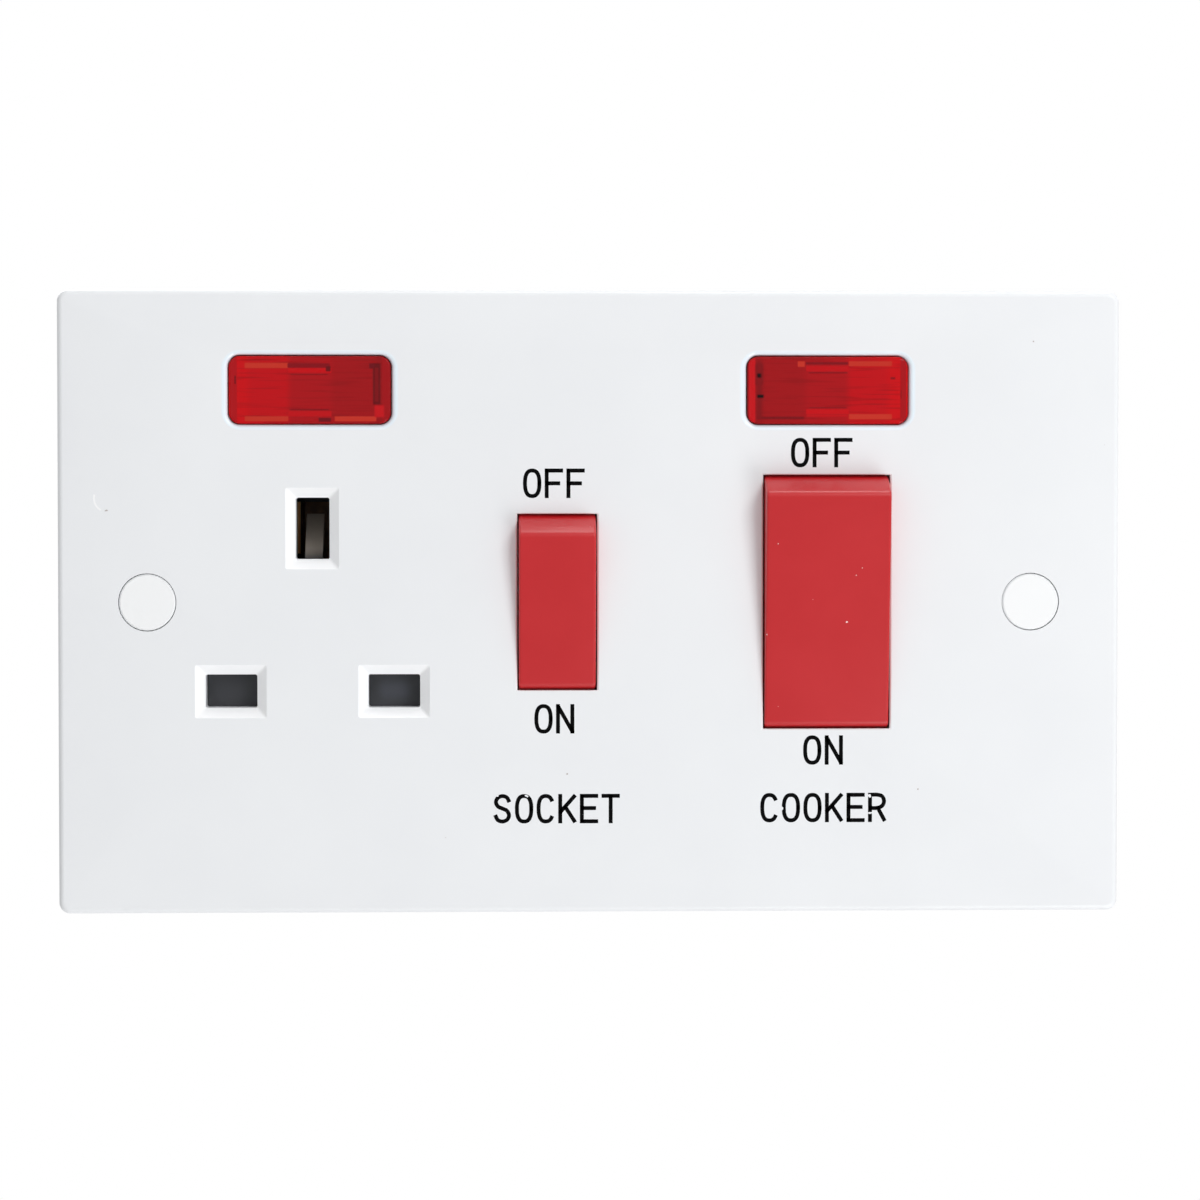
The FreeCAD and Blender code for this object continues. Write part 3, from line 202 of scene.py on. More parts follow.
def clearPlastic(tree, place, look):
    # a clear body dyed through: part of the light passes and takes the dye, the rest scatters back
    flow = addNode(tree, "ShaderNodeTexNoise", {
        "Vector": place, "Scale": 1 / (look["flowMm"] * mm), "Detail": clear["flowDetail"]})
    tones = [(flow.outputs["Fac"], look["drift"])]
    if "lens" in look:          # painted light and shade: the glow and shadows of what stands behind the face are painted as bars of lighter and darker red
        lens = look["lens"]
        # across and up from the pattern's own middle; the cooker's lens is mounted half turned
        away = addNode(tree, "ShaderNodeVectorMath", {
            0: place, 1: (lens["x"] * mm, 0, lens["z"] * mm)}, operation="SUBTRACT")
        own = addNode(tree, "ShaderNodeVectorMath", {
            0: away.outputs[0], "Scale": lens["facing"]}, operation="SCALE").outputs[0]
        across = addNode(tree, "ShaderNodeSeparateXYZ", {"Vector": own}).outputs["X"]
        for u0, u1, tint in lensShadeSteps:
            zone = addNode(tree, "ShaderNodeMapRange", {
                "Value": across, "From Min": u0 * mm, "From Max": u1 * mm},
                interpolation_type="SMOOTHSTEP")
            tones.append((zone.outputs["Result"], tint))
        # streaks where the melt met again: noise drawn out along the lens
        drawnOut = addNode(tree, "ShaderNodeMapping", {
            "Vector": own, "Scale": clear["streakScale"]})
        streaks = addNode(tree, "ShaderNodeTexNoise", {
            "Vector": drawnOut.outputs["Vector"], "Scale": 1 / (look["streakMm"] * mm),
            "Detail": clear["streakDetail"]})
        streak = addNode(tree, "ShaderNodeMapRange", {
            "Value": streaks.outputs["Fac"], "From Min": clear["streakFrom"],
            "From Max": clear["streakTo"], "To Max": clear["streakMost"]})
        tones.append((streak.outputs["Result"], look["streak"]))
        # the ribs' painted glow and shade, then this lens's own painted bars
        tones.extend((barMask(tree, own, *bar), tint) for *bar, tint in ribGlowAndShadeBars + lens["bars"])
    bump = addNode(tree, "ShaderNodeBump", {
        "Height": flow.outputs["Fac"], "Strength": clear["bumpStrength"],
        "Distance": clear["bumpMm"] * mm})
    return tones, {
        "Roughness": look["roughness"], "Transmission Weight": look["clear"], "IOR": look["ior"],
        "Specular IOR Level": look["specular"], "Normal": bump.outputs["Normal"]}


def makeFinish(name, look, pattern):
    # the pattern gives the settings and the tones, which go over the base in turn by their masks
    material, tree, output, place = newMaterial(name)
    tones, settings = pattern(tree, place, look)
    # the look's painted light: highlights and shade laid over the base as soft oblongs
    tones.extend((barMask(tree, place, *bar), tint) for *bar, tint in look.get("paintedLight", ()))
    colour = linear(look["base"])
    for mask, tint in tones:
        colour = addNode(tree, "ShaderNodeMix", {"Factor": mask, "A": colour, "B": linear(tint)},
                         data_type="RGBA").outputs["Result"]
    surface = addNode(tree, "ShaderNodeBsdfPrincipled", {"Base Color": colour, **settings})
    tree.links.new(surface.outputs["BSDF"], output.inputs["Surface"])
    return material


# the lenses' middles, x and z in mm, which the rings round them and the patterns in them start from
lensAt = {"socket": (-38.2, 28.9), "cooker": (32.4, 28.9)}
# painted highlight: the plate is painted a cool white for a little way round each lens, for the
# light that the rounded rim of the opening catches all round
lensRingHighlight = {"halfWidth": 11.95, "halfHeight": 5.35, "soft": 0.22, "corner": 2.5,
            "colour": "#ECF7FF"}
lensRingHighlights = tuple(
    (x - lensRingHighlight["halfWidth"], x + lensRingHighlight["halfWidth"], z - lensRingHighlight["halfHeight"],
     z + lensRingHighlight["halfHeight"], lensRingHighlight["soft"], lensRingHighlight["corner"], lensRingHighlight["colour"])
    for x, z in lensAt.values())
plasticLooks = {
    # urea-formaldehyde, compression moulded and polished: cool white, glossy, a trace of mottling,
    # with a painted highlight ring round each lens
    "ureaPlate": dict(base="#EBEDF0", drift="#F2F4F6", mottleMm=22, grainMm=0.35,
                      grainStrength=0.12, grainDepthMm=0.01, roughness=0.34,
                      roughnessSpread=0.03, ior=1.55,
                      speckColour="#C9C4C2", speckPitchMm=9.0, speckMm=0.12, speckStrength=0.5,
                      paintedLight=lensRingHighlights),
    # the plate's lips and chamfers: whiter than the face, a painted highlight for the light they
    # catch, and glossier
    "lipHighlightUrea": dict(base="#FAFCFF", drift="#FFFFFF", mottleMm=22, grainMm=0.35,
                       grainStrength=0.05, grainDepthMm=0.008, roughness=0.26,
                       roughnessSpread=0.02, ior=1.55, paintedLight=lensRingHighlights),
    # urea caps over the fixing screws: the same powder from a smoother mould, so a shade whiter
    "ureaCap": dict(base="#F5F7F8", drift="#FAFBFC", mottleMm=9, grainMm=0.3, grainStrength=0.08,
                    grainDepthMm=0.008, roughness=0.3, roughnessSpread=0.02, ior=1.55),
    # ABS rocker, injection moulded in a spark-eroded tool: satin red, pin-point dust
    "absRocker": dict(base="#BD131B", drift="#C71921", mottleMm=12, grainMm=0.22,
                      grainStrength=0.25, grainDepthMm=0.012, roughness=0.35,
                      roughnessSpread=0.03, ior=1.53,
                      speckColour="#F1B9B5", speckPitchMm=4.5, speckMm=0.07, speckStrength=0.7,
                      glow=0.08, glowMm=1.0),
    # phenolic rear housing, compression moulded: near black, matt, with wood-flour clouding
    "phenolicHousing": dict(base="#262628", drift="#313133", mottleMm=5, grainMm=0.4,
                            grainStrength=0.35, grainDepthMm=0.03, roughness=0.52,
                            roughnessSpread=0.06, ior=1.6),
    # nylon shutter, moulded: dark grey down the pin slots; painted light: the earth tongue is paler
    # and the pin slots' middles lighter than their edges, where less light reaches
    "nylonShutter": dict(base="#37383B", drift="#404145", mottleMm=4, grainMm=0.25,
                         grainStrength=0.2, grainDepthMm=0.015, roughness=0.5,
                         roughnessSpread=0.05, ior=1.53,
                         paintedLight=((-41, -35, 6.5, 20, 1.0, "#A0968B"),
                                 (-51.2, -47.2, -13.4, -11.0, 1.1, "#424347"),
                                 (-28.9, -24.9, -13.4, -11.0, 1.1, "#4C4E55")), specular=0.3),
    # polycarbonate shutter cover, moulded: black, slight sheen
    "polycarbonateCover": dict(base="#151517", drift="#1D1D1F", mottleMm=6, grainMm=0.3,
                               grainStrength=0.2, grainDepthMm=0.015, roughness=0.45,
                               roughnessSpread=0.05, ior=1.58),
    # acetal plungers, turned and moulded: milky, waxy
    "acetalPlunger": dict(base="#DEDCD4", drift="#E8E6DF", mottleMm=2, grainMm=0.2,
                          grainStrength=0.1, grainDepthMm=0.01, roughness=0.36,
                          roughnessSpread=0.03, ior=1.48),
    # polypropylene lamp tray, moulded: bright white, to throw the lamp's light forward
    "polypropyleneTray": dict(base="#ECEAE4", drift="#F5F3EE", mottleMm=6, grainMm=0.3,
                              grainStrength=0.12, grainDepthMm=0.01, roughness=0.45,
                              roughnessSpread=0.04, ior=1.49),
    # lacquered ceramic resistor: buff, slightly lumpy under the dip coat
    "lacqueredResistor": dict(base="#BC9C68", drift="#CBAB76", mottleMm=1.5, grainMm=0.5,
                              grainStrength=0.4, grainDepthMm=0.03, roughness=0.35,
                              roughnessSpread=0.04, ior=1.5),
    # PVC insulated lead, extruded: smooth red, a soft sheen
    "pvcLead": dict(base="#B4261F", drift="#C22E26", mottleMm=3, grainMm=0.3, grainStrength=0.15,
                    grainDepthMm=0.01, roughness=0.38, roughnessSpread=0.03, ior=1.53),
    # screen ink, baked: dense black, a little duller than the plate
    "screenInk": dict(base="#010102", drift="#040405", mottleMm=1.0, grainMm=0.12,
                      grainStrength=0.2, grainDepthMm=0.004, roughness=0.5, roughnessSpread=0.05,
                      ior=1.5, specular=0.05),
    # a scuff in the urea: the polished skin is broken and reads a shade paler than the plate
    "scuffedUrea": dict(base="#F8F9FB", drift="#FFFFFF", mottleMm=0.5, grainMm=0.1,
                        grainStrength=0.4, grainDepthMm=0.01, roughness=0.6, roughnessSpread=0.05,
                        ior=1.5),
    # a fleck of white flash or lint on the rocker: bright, with soft edges
    "whiteFleck": dict(base="#EFC9C6", drift="#F8DEDB", mottleMm=0.4, grainMm=0.1,
                       grainStrength=0.3, grainDepthMm=0.01, roughness=0.6, roughnessSpread=0.05,
                       ior=1.5),
    # dust grains pressed into the gloss: warm grey
    "dustGrain": dict(base="#B5ABAA", drift="#C4BDBB", mottleMm=0.4, grainMm=0.1, grainStrength=0.4,
                      grainDepthMm=0.02, roughness=0.7, roughnessSpread=0.05, ior=1.5),
}
metalLooks = {
    # brass terminal bar, drawn and drilled: warm yellow, draw lines along its length
    "drawnBrass": dict(base="#D8B568", drift="#A9823F", lineMm=0.12, stretch=(1, 1, 0.06),
                       lineDepthMm=0.01, tarnishMm=4, roughness=0.26),
    # pressed brass jaws of the earth pin, never cleaned: brown under a dull film that hides part of
    # the metal, almost black where the tarnish is thick; a painted highlight of pale brass lies
    # along the lip that faces the slot
    "tarnishedBrass": dict(base="#7A5230", drift="#24160D", lineMm=0.1, stretch=(1, 0.08, 1),
                           lineDepthMm=0.008, tarnishMm=3, roughness=0.38, film=0.85,
                           paintedLight=((-41, -40.06, 0, 20, 0.05, "#FFCB8C"),)),
    # rolled brass contact strip, pressed: browner and duller where it was handled
    "rolledBrass": dict(base="#C39A5A", drift="#7C5A34", lineMm=0.1, stretch=(1, 0.08, 1),
                        lineDepthMm=0.008, tarnishMm=3, roughness=0.3),
    # patented spring wire, coiled: grey with a drawn sheen
    "springSteel": dict(base="#B4B5B8", drift="#808288", lineMm=0.08, stretch=(1, 1, 0.2),
                        lineDepthMm=0.006, tarnishMm=2, roughness=0.28),
    # zinc plated steel screw, barrel plated: blue-grey, softly uneven
    "zincPlatedScrew": dict(base="#C6C9CE", drift="#9A9DA3", lineMm=0.15, stretch=(1, 1, 1),
                            lineDepthMm=0.006, tarnishMm=1.6, roughness=0.3),
}
# painted shade across either lens, bright at one end and darker in steps towards the other: where
# each step starts and ends to deepen, in mm, and to what
lensShadeSteps = ((-10.2, -9.2, "#D20E16"), (-9.0, -7.6, "#C80F18"), (-3.4, -2.2, "#B2131A"),
             (2.4, 3.6, "#A81319"), (8.2, 9.4, "#9C1218"))
# painted glow and shade on both lenses, the same ribs seen in each: orange where a rib leads light
# forward, dark red where the parts behind throw shadow; left, right, low and high edge and softness
# in mm, then the colour
ribGlowAndShadeBars = (
    (-8.8, -2.9, 3.25, 3.95, 0.1, "#CF3728"), (-8.8, -2.9, -3.97, -3.3, 0.1, "#CC3527"),
    (-2.9, 2.95, 2.6, 3.25, 0.12, "#CE1018"), (-2.9, 2.95, -3.3, -2.6, 0.12, "#C81119"),
    (-2.6, 2.5, 2.3, 2.44, 0.08, "#8A1219"), (-2.7, 2.6, -2.46, -2.3, 0.08, "#861219"),
)
socketLens = {
    "x": lensAt["socket"][0], "z": lensAt["socket"][1] - 0.3, "facing": 1.0,    # ribs sit low
    # painted light and shade of the lamp and holder behind this lens, in the ribs' columns
    "bars": (
        (-10.8, -9.85, -4.3, 4.6, 0.12, "#B8131B"), (9.85, 10.8, -4.3, 4.6, 0.12, "#A81219"),
        (3.4, 9.05, -3.97, -3.3, 0.1, "#CE3628"), (-3.0, 2.75, 3.3, 3.9, 0.1, "#8E101A"),
        (2.2, 2.85, 2.8, 3.5, 0.12, "#6E0F15"), (1.2, 2.9, -4.05, -3.5, 0.12, "#74101A"),
        (8.6, 9.6, -1.7, 3.9, 0.15, "#6E0F15"), (8.85, 9.35, -1.3, 3.3, 0.12, "#861117"),
        (8.1, 8.8, 3.2, 3.9, 0.12, "#74101A"), (8.8, 10.1, -3.4, -1.8, 0.2, "#CC161E"),
        (-10.2, -10.0, 1.1, 2.2, 0.05, "#7A1118"),
    ),
}
cookerLens = {
    "x": lensAt["cooker"][0], "z": lensAt["cooker"][1], "facing": -1.0,
    # painted light and shade of the lamp and holder behind this lens, in the ribs' columns
    "bars": (
        (-10.8, -9.95, -4.4, 4.4, 0.12, "#B0131A"), (9.9, 10.8, -4.4, 4.4, 0.12, "#CE161E"),
        (3.15, 4.1, -3.95, -3.2, 0.1, "#CE3628"), (-2.8, 3.0, -3.85, -3.5, 0.1, "#86101A"),
        (-2.8, 2.9, 3.3, 3.6, 0.15, "#C81119"), (3.2, 9.7, 3.6, 3.95, 0.15, "#7E1118"),
        (8.9, 9.85, -3.6, -0.7, 0.3, "#7A1218"), (9.0, 9.7, -3.9, 3.9, 0.3, "#8A1218"),
        (9.1, 9.65, -2.3, -1.7, 0.18, "#1C0507"), (8.75, 9.65, 0.6, 1.05, 0.15, "#160405"),
        (-9.25, -8.6, -1.8, -1.5, 0.1, "#8A1219"), (-10.12, -10.0, 0.0, 1.1, 0.05, "#8E1219"),
    ),
}
# red polycarbonate lenses, moulded clear: deep red, glossy, with the orange where a rib leads light
# forward painted into the colour
redLens = dict(base="#D00A12", drift="#D80E16", flowMm=3, roughness=0.08, clear=0.12, ior=1.5,
               specular=0.05, streak="#8E1016", streakMm=0.35)
clearLooks = {
    "redPolycarbonateSocket": dict(redLens, lens=socketLens),
    "redPolycarbonateCooker": dict(redLens, lens=cookerLens),
    # soda glass lamp tube, drawn: clear with a faint warm cast
    "lampGlass": dict(base="#F6E6DC", drift="#FBF0E8", flowMm=2, roughness=0.03, clear=0.95,
                      ior=1.52, specular=0.5),
}
finishes = {name: makeFinish(name, look, pattern)
            for looks, pattern in ((plasticLooks, mouldedPlastic), (metalLooks, drawnMetal),
                                   (clearLooks, clearPlastic))
            for name, look in looks.items()}
print("finishes made:", len(finishes))


# which finish each CAD part gets: whole names, or endings that several names share
partFinishes = (
    ("ureaPlate", ("front_plate",)),
    ("ureaCap", ("left_screw_cap", "right_screw_cap")),
    ("absRocker", ("cooker_rocker", "socket_rocker")),
    ("redPolycarbonateCooker", ("cooker_neon_lens",)),
    ("redPolycarbonateSocket", ("socket_neon_lens",)),
    ("phenolicHousing", ("rear_housing",)),
    ("nylonShutter", ("shutter",)),
    ("polycarbonateCover", ("shutter_cover",)),
    ("acetalPlunger", ("_plunger",)),
    ("polypropyleneTray", ("_holder",)),
    ("lacqueredResistor", ("_resistor",)),
    ("pvcLead", ("_leads",)),
    ("lampGlass", ("_lamp",)),
    ("drawnBrass", ("_terminal",)),
    ("tarnishedBrass", ("earth_contact",)),
    ("springSteel", ("spring",)),
    ("zincPlatedScrew", ("_screws",)),
    ("rolledBrass", ("_contact", "_busbar", "neutral_link")),
)


def finishOf(node):
    # the first row that names the node whole, or else the first whose ending fits it
    for finish, names in partFinishes:
        if node in names:
            return finish
    return next(f for f, names in partFinishes if node.endswith(names))


for name, node in frame["nodes"].items():
    for slot in node.material_slots:
        slot.material = finishes[finishOf(name)]
print("CAD parts finished")


# an edge that turns by more than this stays sharp; corners closer than this, in metres, are joined
skin = {"sharpDegrees": 32, "weldGap": 1e-6}


def smoothSkin(node, name, body, slot):
    # the node's own surface with its loose triangles joined, so that its rounds shade as one curve
    piece = frame["nodes"][node].copy()
    piece.data = frame["nodes"][node].data.copy()
    piece.name = piece.data.name = name
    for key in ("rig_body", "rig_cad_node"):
        if key in piece:
            del piece[key]
    piece.parent = None
    bpy.context.scene.collection.objects.link(piece)
    bpy.ops.object.select_all(action="DESELECT")
    piece.select_set(True)
    bpy.context.view_layer.objects.active = piece
    bpy.ops.object.mode_set(mode="EDIT")
    bpy.ops.mesh.select_all(action="SELECT")
    bpy.ops.mesh.remove_doubles(threshold=skin["weldGap"])
    bpy.ops.mesh.customdata_custom_splitnormals_clear()
    bpy.ops.object.mode_set(mode="OBJECT")
    bpy.ops.object.shade_smooth_by_angle(angle=math.radians(skin["sharpDegrees"]))
    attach(piece, body)
    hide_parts(node)


# the CAD node, its smoothed copy's name, body and slot
smoothParts = (
    ("front_plate", "moulded_plate", "unit", "white_urea"),
    ("cooker_rocker", "moulded_cooker_rocker", "cooker_rocker_body", "red_rocker"),
    ("socket_rocker", "moulded_socket_rocker", "socket_rocker_body", "red_rocker"),
    ("left_screw_cap", "moulded_left_cap", "unit", "cap_white"),
    ("right_screw_cap", "moulded_right_cap", "unit", "cap_white"),
)
for row in smoothParts:
    smoothSkin(*row)

# the plate's lips round the lenses, slots and rockers, which take the painted highlight: faces near
# the front that slope inside the rim; depth behind the face and reach from the middle in mm, slope
# as the normal's y
highlighted = {"depth": 1.4, "leastSlope": -0.985, "mostSlope": -0.1, "halfWidth": 70, "halfHeight": 40}
plate = bpy.data.objects["moulded_plate"].data
plate.materials.append(finishes["lipHighlightUrea"])
normals, centres = (np.empty(3 * len(plate.polygons)) for _ in range(2))
plate.polygons.foreach_get("normal", normals)
plate.polygons.foreach_get("center", centres)
normals, centres = normals.reshape(-1, 3), centres.reshape(-1, 3) / mm
sloping = ((normals[:, 1] > highlighted["leastSlope"]) & (normals[:, 1] < highlighted["mostSlope"])
           & (centres[:, 1] < faceY / mm + highlighted["depth"])
           & (np.abs(centres[:, 0]) < highlighted["halfWidth"])
           & (np.abs(centres[:, 2]) < highlighted["halfHeight"]))
plate.polygons.foreach_set("material_index", sloping.astype(int))
print("front mouldings smoothed,", int(sloping.sum()), "faces buffed")


# printed words: pen strokes of one width, laid on the face, in mm
lettering = {
    "height": 4.02, "width": 2.5, "pitch": 2.96, "stroke": 0.54,
    "sunk": 0.004, "proud": 0.012,      # how far the ink reaches into the face and over it
    # in stroke widths, how far a level or upright end runs on, and a sloping one; an end is level
    # or upright when this share of its length lies along one axis
    "runOn": (0.5, 0.3), "level": 0.999,
    "ovalPoints": 49, "ovalPower": 0.8, "curveSteps": 8,
    "words": (                          # the word, its piece's name, and its middle's x and z
        ("OFF", "off_mark_socket", -5.0, 16.2), ("ON", "on_mark_socket", -4.95, -15.95),
        ("OFF", "off_mark_cooker", 31.6, 20.4), ("ON", "on_mark_cooker", 31.85, -20.3),
        ("SOCKET", "socket_word", -4.65, -28.25), ("COOKER", "cooker_word", 31.9, -28.2),
    ),
}


def ovalPath(start, end):
    # a super-ellipse in the unit box: across and up from its middle are half of the angle's cosine
    # and sine, each raised to a power and given its own sign back
    turn = np.radians(np.linspace(start, end, lettering["ovalPoints"]))
    onCircle = np.stack([np.cos(turn), np.sin(turn)], 1)
    return 0.5 + 0.5 * (np.sign(onCircle) * np.abs(onCircle) ** lettering["ovalPower"])


def flowingPath(points):
    # a Catmull-Rom curve through the points: each span is a cubic of its four neighbours
    p = np.array([points[0], *points, points[-1]], float)
    t = np.linspace(0, 1, lettering["curveSteps"], endpoint=False)[:, None, None]
    a, b, c, d = p[:-3], p[1:-2], p[2:-1], p[3:]
    spans = 0.5 * (2 * b + (c - a) * t + (2 * a - 5 * b + 4 * c - d) * t ** 2
                   + (3 * b - a - 3 * c + d) * t ** 3)
    return np.concatenate([spans.transpose(1, 0, 2).reshape(-1, 2), p[-1:]])


def straight(*points):
    return np.array(points, float)


# each letter's strokes in a unit box, from its low left corner; ovals run between angles in degrees
glyphs = {
    "O": [ovalPath(0, 360)],
    "C": [ovalPath(36, 324)],
    "F": [straight((0, 0), (0, 1)), straight((0, 1), (1, 1)), straight((0, 0.5), (0.8, 0.5))],
    "N": [straight((0, 0), (0, 1)), straight((0, 1), (1, 0)), straight((1, 0), (1, 1))],
    "K": [straight((0, 0), (0, 1)), straight((1, 1), (0, 0.36)), straight((0.34, 0.58), (1, 0))],
    "E": [straight((0, 0), (0, 1)), straight((0, 1), (1, 1)), straight((0, 0.52), (0.85, 0.52)),
          straight((0, 0), (1, 0))],
    "R": [straight((0, 0), (0, 1)),
          flowingPath([(0, 1), (0.5, 1), (0.84, 0.94), (0.98, 0.76), (0.86, 0.57), (0.5, 0.48),
                       (0, 0.48)]),
          straight((0.55, 0.48), (1, 0))],
    "S": [flowingPath([(0.95, 0.8), (0.8, 0.95), (0.5, 1), (0.18, 0.93), (0.05, 0.76), (0.2, 0.59),
                       (0.5, 0.51), (0.82, 0.42), (0.96, 0.24), (0.82, 0.07), (0.5, 0),
                       (0.18, 0.06), (0.03, 0.22)])],
    "T": [straight((0, 1), (1, 1)), straight((0.5, 1), (0.5, 0))],
}


def strokeMesh(name, paths, width, backY, frontY):
    # each path gets a left and a right edge, half a width along its normal, at two depths: a flat
    # bar with closed ends
    vertices, faces = [], []
    for path in paths:
        along = np.gradient(path, axis=0)
        along /= np.linalg.norm(along, axis=1, keepdims=True)
        level = np.abs(along[[0, -1]]).max(axis=1) > lettering["level"]
        first, last = width * np.where(level, *lettering["runOn"])
        path = np.concatenate([path[:1] - along[:1] * first, path[1:-1],
                               path[-1:] + along[-1:] * last])
        side = np.stack([-along[:, 1], along[:, 0]], 1) * width / 2
        left, right = path + side, path - side
        rows = [(left, frontY), (right, frontY), (right, backY), (left, backY)]
        ring = np.stack([np.insert(edge, 1, y, axis=1) for edge, y in rows], 1)
        base, n = len(vertices), len(path)
        vertices.extend(ring.reshape(-1, 3).tolist())
        i = np.arange(n - 1)[:, None] * 4 + base
        k = np.arange(4)
        quads = np.stack([i + k, i + (k + 1) % 4, i + 4 + (k + 1) % 4, i + 4 + k], 2)
        faces.extend(quads.reshape(-1, 4).tolist())
        faces.extend([(k[::-1] + base).tolist(), (k + base + 4 * (n - 1)).tolist()])
    return meshObject(name, np.array(vertices) * mm, faces)


def wordPaths(word, centreX, centreZ):
    # each letter's unit box is set out at the pitch, less half a stroke, about the word's middle
    w, h = (lettering[side] - lettering["stroke"] for side in ("width", "height"))
    first = centreX - (len(word) - 1) * lettering["pitch"] / 2
    paths = []
    for place, letter in enumerate(word):
        corner = np.array([first + place * lettering["pitch"] - w / 2, centreZ - h / 2])
        paths.extend(corner + stroke * np.array([w, h]) for stroke in glyphs[letter])
    return paths


faceMm = faceY / mm
for word, name, x, z in lettering["words"]:
    ink = strokeMesh(name, wordPaths(word, x, z), lettering["stroke"],
                     faceMm + lettering["sunk"], faceMm - lettering["proud"])
    ink.data.materials.append(finishes["screenInk"])
    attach(ink, "unit")
print("words printed")


# small marks that the photograph shows: lost ink, a scuff, dust and flecks, in mm
marks = {
    "facets": 14, "wobbles": ((3, 0.1), (5, 0.07)),     # waves round a blot's rim, and their size
    # how far the marks reach into the face and over it; what shows where ink is lost starts inside
    # the ink and covers it
    "sunk": 0.004, "dustProud": 0.03, "scuffProud": 0.006, "fleckProud": 0.012,
    "patchFrom": 0.011, "patchTo": 0.016,
    # middle x and z on the plate's face, across, up, and turn in degrees
    "lostInk": ((38.35, -28.95, 0.7, 0.24, 6), (38.25, -26.6, 0.42, 0.5, 40),
                (26.28, -28.3, 0.22, 0.5, 0), (-8.75, -26.5, 0.55, 0.26, -25),
                (-12.7, -26.5, 0.3, 0.18, 30)),
    # the large rocker's flecks: middle x and z as it stands at rest
    "flecks": ((34.9, -2.7, 0.3, 0.26, 20), (36.1, 3.7, 0.16, 0.12, 0), (36.9, 4.7, 0.14, 0.12, 50),
               (25.4, 8.0, 0.14, 0.14, 0), (24.0, -4.4, 0.12, 0.2, 0)),
    # how far the rocker leans in degrees, how deep its pivot lies and how far its face is from that
    "rockerLean": 7.0, "rockerPivotDeep": 6.0, "rockerFaceReach": 8.15,
    "scuff": ((-67.42, 14.6), (-67.45, 14.0), (-67.27, 13.35), (-66.93, 12.87), (-66.6, 12.6)),
    "scuffWidth": 0.24,
    # the last of these is the dark grain at the scuff's end
    "dust": ((-3.2, -23.5, 0.26, 0.22, 15), (44.9, -25.7, 0.22, 0.2, 60),
             (60.6, 35.6, 0.22, 0.2, 0), (-65.8, 12.5, 0.46, 0.2, 12)),
}


def blotMesh(name, blots, backY, frontY):
    # each blot is a flat disc: angles round an ellipse whose radius wobbles by up to a sixth
    n = marks["facets"]
    angle = np.arange(n) * 2 * math.pi / n
    (slowWaves, slowSize), (fastWaves, fastSize) = marks["wobbles"]
    vertices, faces = [], []
    for x, z, across, up, turn in blots:
        wobble = (1 + slowSize * np.sin(slowWaves * angle + x)
                  + fastSize * np.cos(fastWaves * angle + z))
        u, v = across / 2 * wobble * np.cos(angle), up / 2 * wobble * np.sin(angle)
        c, s = math.cos(math.radians(turn)), math.sin(math.radians(turn))
        rims = [np.stack([x + c * u - s * v, np.full(n, y), z + s * u + c * v], 1)
                for y in (backY, frontY)]
        k = np.arange(n) + len(vertices)
        following = np.roll(k, -1)
        faces.extend(np.stack([k, following, following + n, k + n], 1).tolist())
        faces.extend([(k + n).tolist(), k[::-1].tolist()])
        vertices.extend(np.concatenate(rims).tolist())
    return meshObject(name, np.array(vertices) * mm, faces)


def markPiece(piece, finish, body="unit"):
    piece.data.materials.append(finishes[finish])
    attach(piece, body)


inFace = faceMm + marks["sunk"]
markPiece(blotMesh("lost_ink_patches", marks["lostInk"], faceMm - marks["patchFrom"],
                   faceMm - marks["patchTo"]), "ureaPlate")
markPiece(blotMesh("dust_specks", marks["dust"], inFace, faceMm - marks["dustProud"]),
          "dustGrain")
markPiece(strokeMesh("face_scuff", [flowingPath(marks["scuff"])], marks["scuffWidth"], inFace,
                     faceMm - marks["scuffProud"]), "scuffedUrea")
# the flecks lie on the rocker's sloping face: drawn upright before the pivot, then leant with it
lean = math.radians(marks["rockerLean"])
pivot = faceMm + marks["rockerPivotDeep"]
reach = marks["rockerFaceReach"]
upright = [(x, (z + reach * math.sin(lean)) / math.cos(lean), across, up, turn)
           for x, z, across, up, turn in marks["flecks"]]
flecks = blotMesh("rocker_flecks", upright, pivot - reach + marks["sunk"],
                  pivot - reach - marks["fleckProud"])
flecks.data.transform(Matrix.Translation((0, pivot * mm, 0)) @ Matrix.Rotation(lean, 4, "X")
                      @ Matrix.Translation((0, -pivot * mm, 0)))
markPiece(flecks, "whiteFleck", "cooker_rocker_body")
print("small marks placed")


# the photograph's own viewpoint, found from 18 points of the plate: mm, and metres for its reach
camera = {"place": (-14.8, -500.0, 14.8), "aim": (1.6, 0.0, 0.0), "lensMm": 107.9, "sensorMm": 36,
          "nearest": 0.01, "farthest": 50}
cameraData = bpy.data.cameras.new("camera")
cameraObject = bpy.data.objects.new("camera", cameraData)
bpy.context.scene.collection.objects.link(cameraObject)
cameraData.lens = camera["lensMm"]
cameraData.sensor_width = camera["sensorMm"]
cameraData.clip_start, cameraData.clip_end = camera["nearest"], camera["farthest"]
cameraObject.location = Vector(camera["place"]) * mm
towards = (Vector(camera["aim"]) - Vector(camera["place"])).normalized()
cameraObject.rotation_euler = towards.to_track_quat("-Z", "Y").to_euler()
bpy.context.scene.camera = cameraObject

lamps = {
    # place and size in metres, power in watts: a soft key from the upper right, a second one from
    # the lower right, one almost straight above for what faces up, and one for the back
    "keyLamp": ((0.38, -0.58, 0.38), 0.3, 2.05),
    "lowLamp": ((0.3, -0.42, -0.42), 0.26, 1.3),
    "topLamp": ((0.1, -0.03, 0.8), 0.36, 2.0),
    "rearLamp": ((-0.5, 0.95, 0.6), 0.7, 6.0),
}
for name, (place, size, power) in lamps.items():
    lampData = bpy.data.lights.new(name, "AREA")
    lampData.size, lampData.energy = size, power
    lamp = bpy.data.objects.new(name, lampData)
    lamp.location = place
    lamp.rotation_euler = (-Vector(place)).to_track_quat("-Z", "Y").to_euler()
    bpy.context.scene.collection.objects.link(lamp)

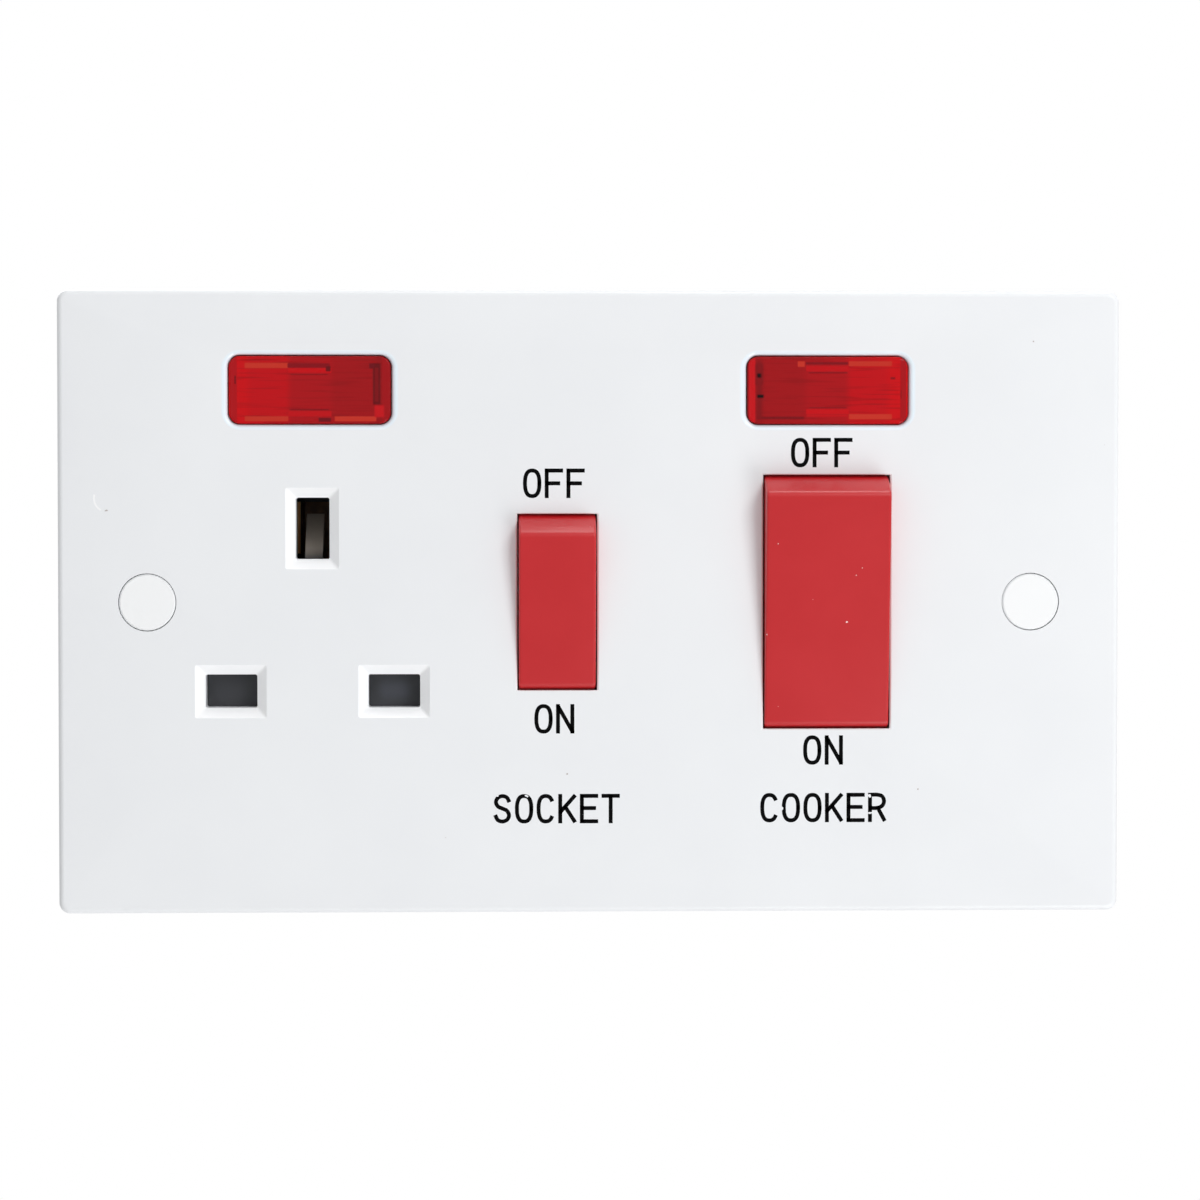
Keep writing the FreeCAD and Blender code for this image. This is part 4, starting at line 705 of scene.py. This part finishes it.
# the room: what lights the piece is dimmer than the white that the camera, gloss and glass see
room = {"fill": 0.485, "seen": 1.0}
plainWhite = linear("#FFFFFF")
world = bpy.data.worlds.new("room")
bpy.context.scene.world = world
world.use_nodes = True
roomTree = world.node_tree
roomTree.nodes.clear()
seen = addNode(roomTree, "ShaderNodeLightPath")
direct = addNode(roomTree, "ShaderNodeMath", {
    0: seen.outputs["Is Camera Ray"], 1: seen.outputs["Is Glossy Ray"]}, operation="MAXIMUM")
anyView = addNode(roomTree, "ShaderNodeMath", {
    0: direct.outputs[0], 1: seen.outputs["Is Transmission Ray"]}, operation="MAXIMUM")
fillLight, whiteView = (
    addNode(roomTree, "ShaderNodeBackground", {"Color": plainWhite, "Strength": room[use]})
    for use in ("fill", "seen"))
roomMix = addNode(roomTree, "ShaderNodeMixShader", {
    0: anyView.outputs[0], 1: fillLight.outputs[0], 2: whiteView.outputs[0]})
addNode(roomTree, "ShaderNodeOutputWorld", {"Surface": roomMix.outputs[0]})

# the floor, in metres: its paint turns to the background's white between the two fades, measured
# from the piece and beyond the floor's own depth below it
ground = {"height": -0.55, "reach": 6.0, "fadeStart": 0.05, "fadeEnd": 0.4, "paint": "#FAFAFA"}
corners = np.array([(-1, -1), (1, -1), (1, 1), (-1, 1)]) * ground["reach"]
floor = meshObject("studio_floor", np.insert(corners, 2, ground["height"], axis=1), [[0, 1, 2, 3]])
floorMaterial, floorTree, floorOutput, floorPlace = newMaterial("paintedFloor")
away = addNode(floorTree, "ShaderNodeVectorMath", {0: floorPlace}, operation="LENGTH")
fade = addNode(floorTree, "ShaderNodeMapRange", {
    "Value": away.outputs["Value"], "From Min": ground["fadeStart"] - ground["height"],
    "From Max": ground["fadeEnd"] - ground["height"]}, interpolation_type="SMOOTHSTEP")
floorSeen = addNode(floorTree, "ShaderNodeLightPath")
whiten = addNode(floorTree, "ShaderNodeMath", {
    0: fade.outputs["Result"], 1: floorSeen.outputs["Is Camera Ray"]}, operation="MULTIPLY")
paint = addNode(floorTree, "ShaderNodeBsdfDiffuse", {"Color": linear(ground["paint"])})
shine = addNode(floorTree, "ShaderNodeEmission", {"Color": plainWhite, "Strength": room["seen"]})
floorMix = addNode(floorTree, "ShaderNodeMixShader", {
    0: whiten.outputs[0], 1: paint.outputs[0], 2: shine.outputs[0]})
floorTree.links.new(floorMix.outputs[0], floorOutput.inputs["Surface"])
floor.data.materials.append(floorMaterial)
bpy.context.scene.view_settings.view_transform = "Standard"
print("camera, lamps and ground placed")
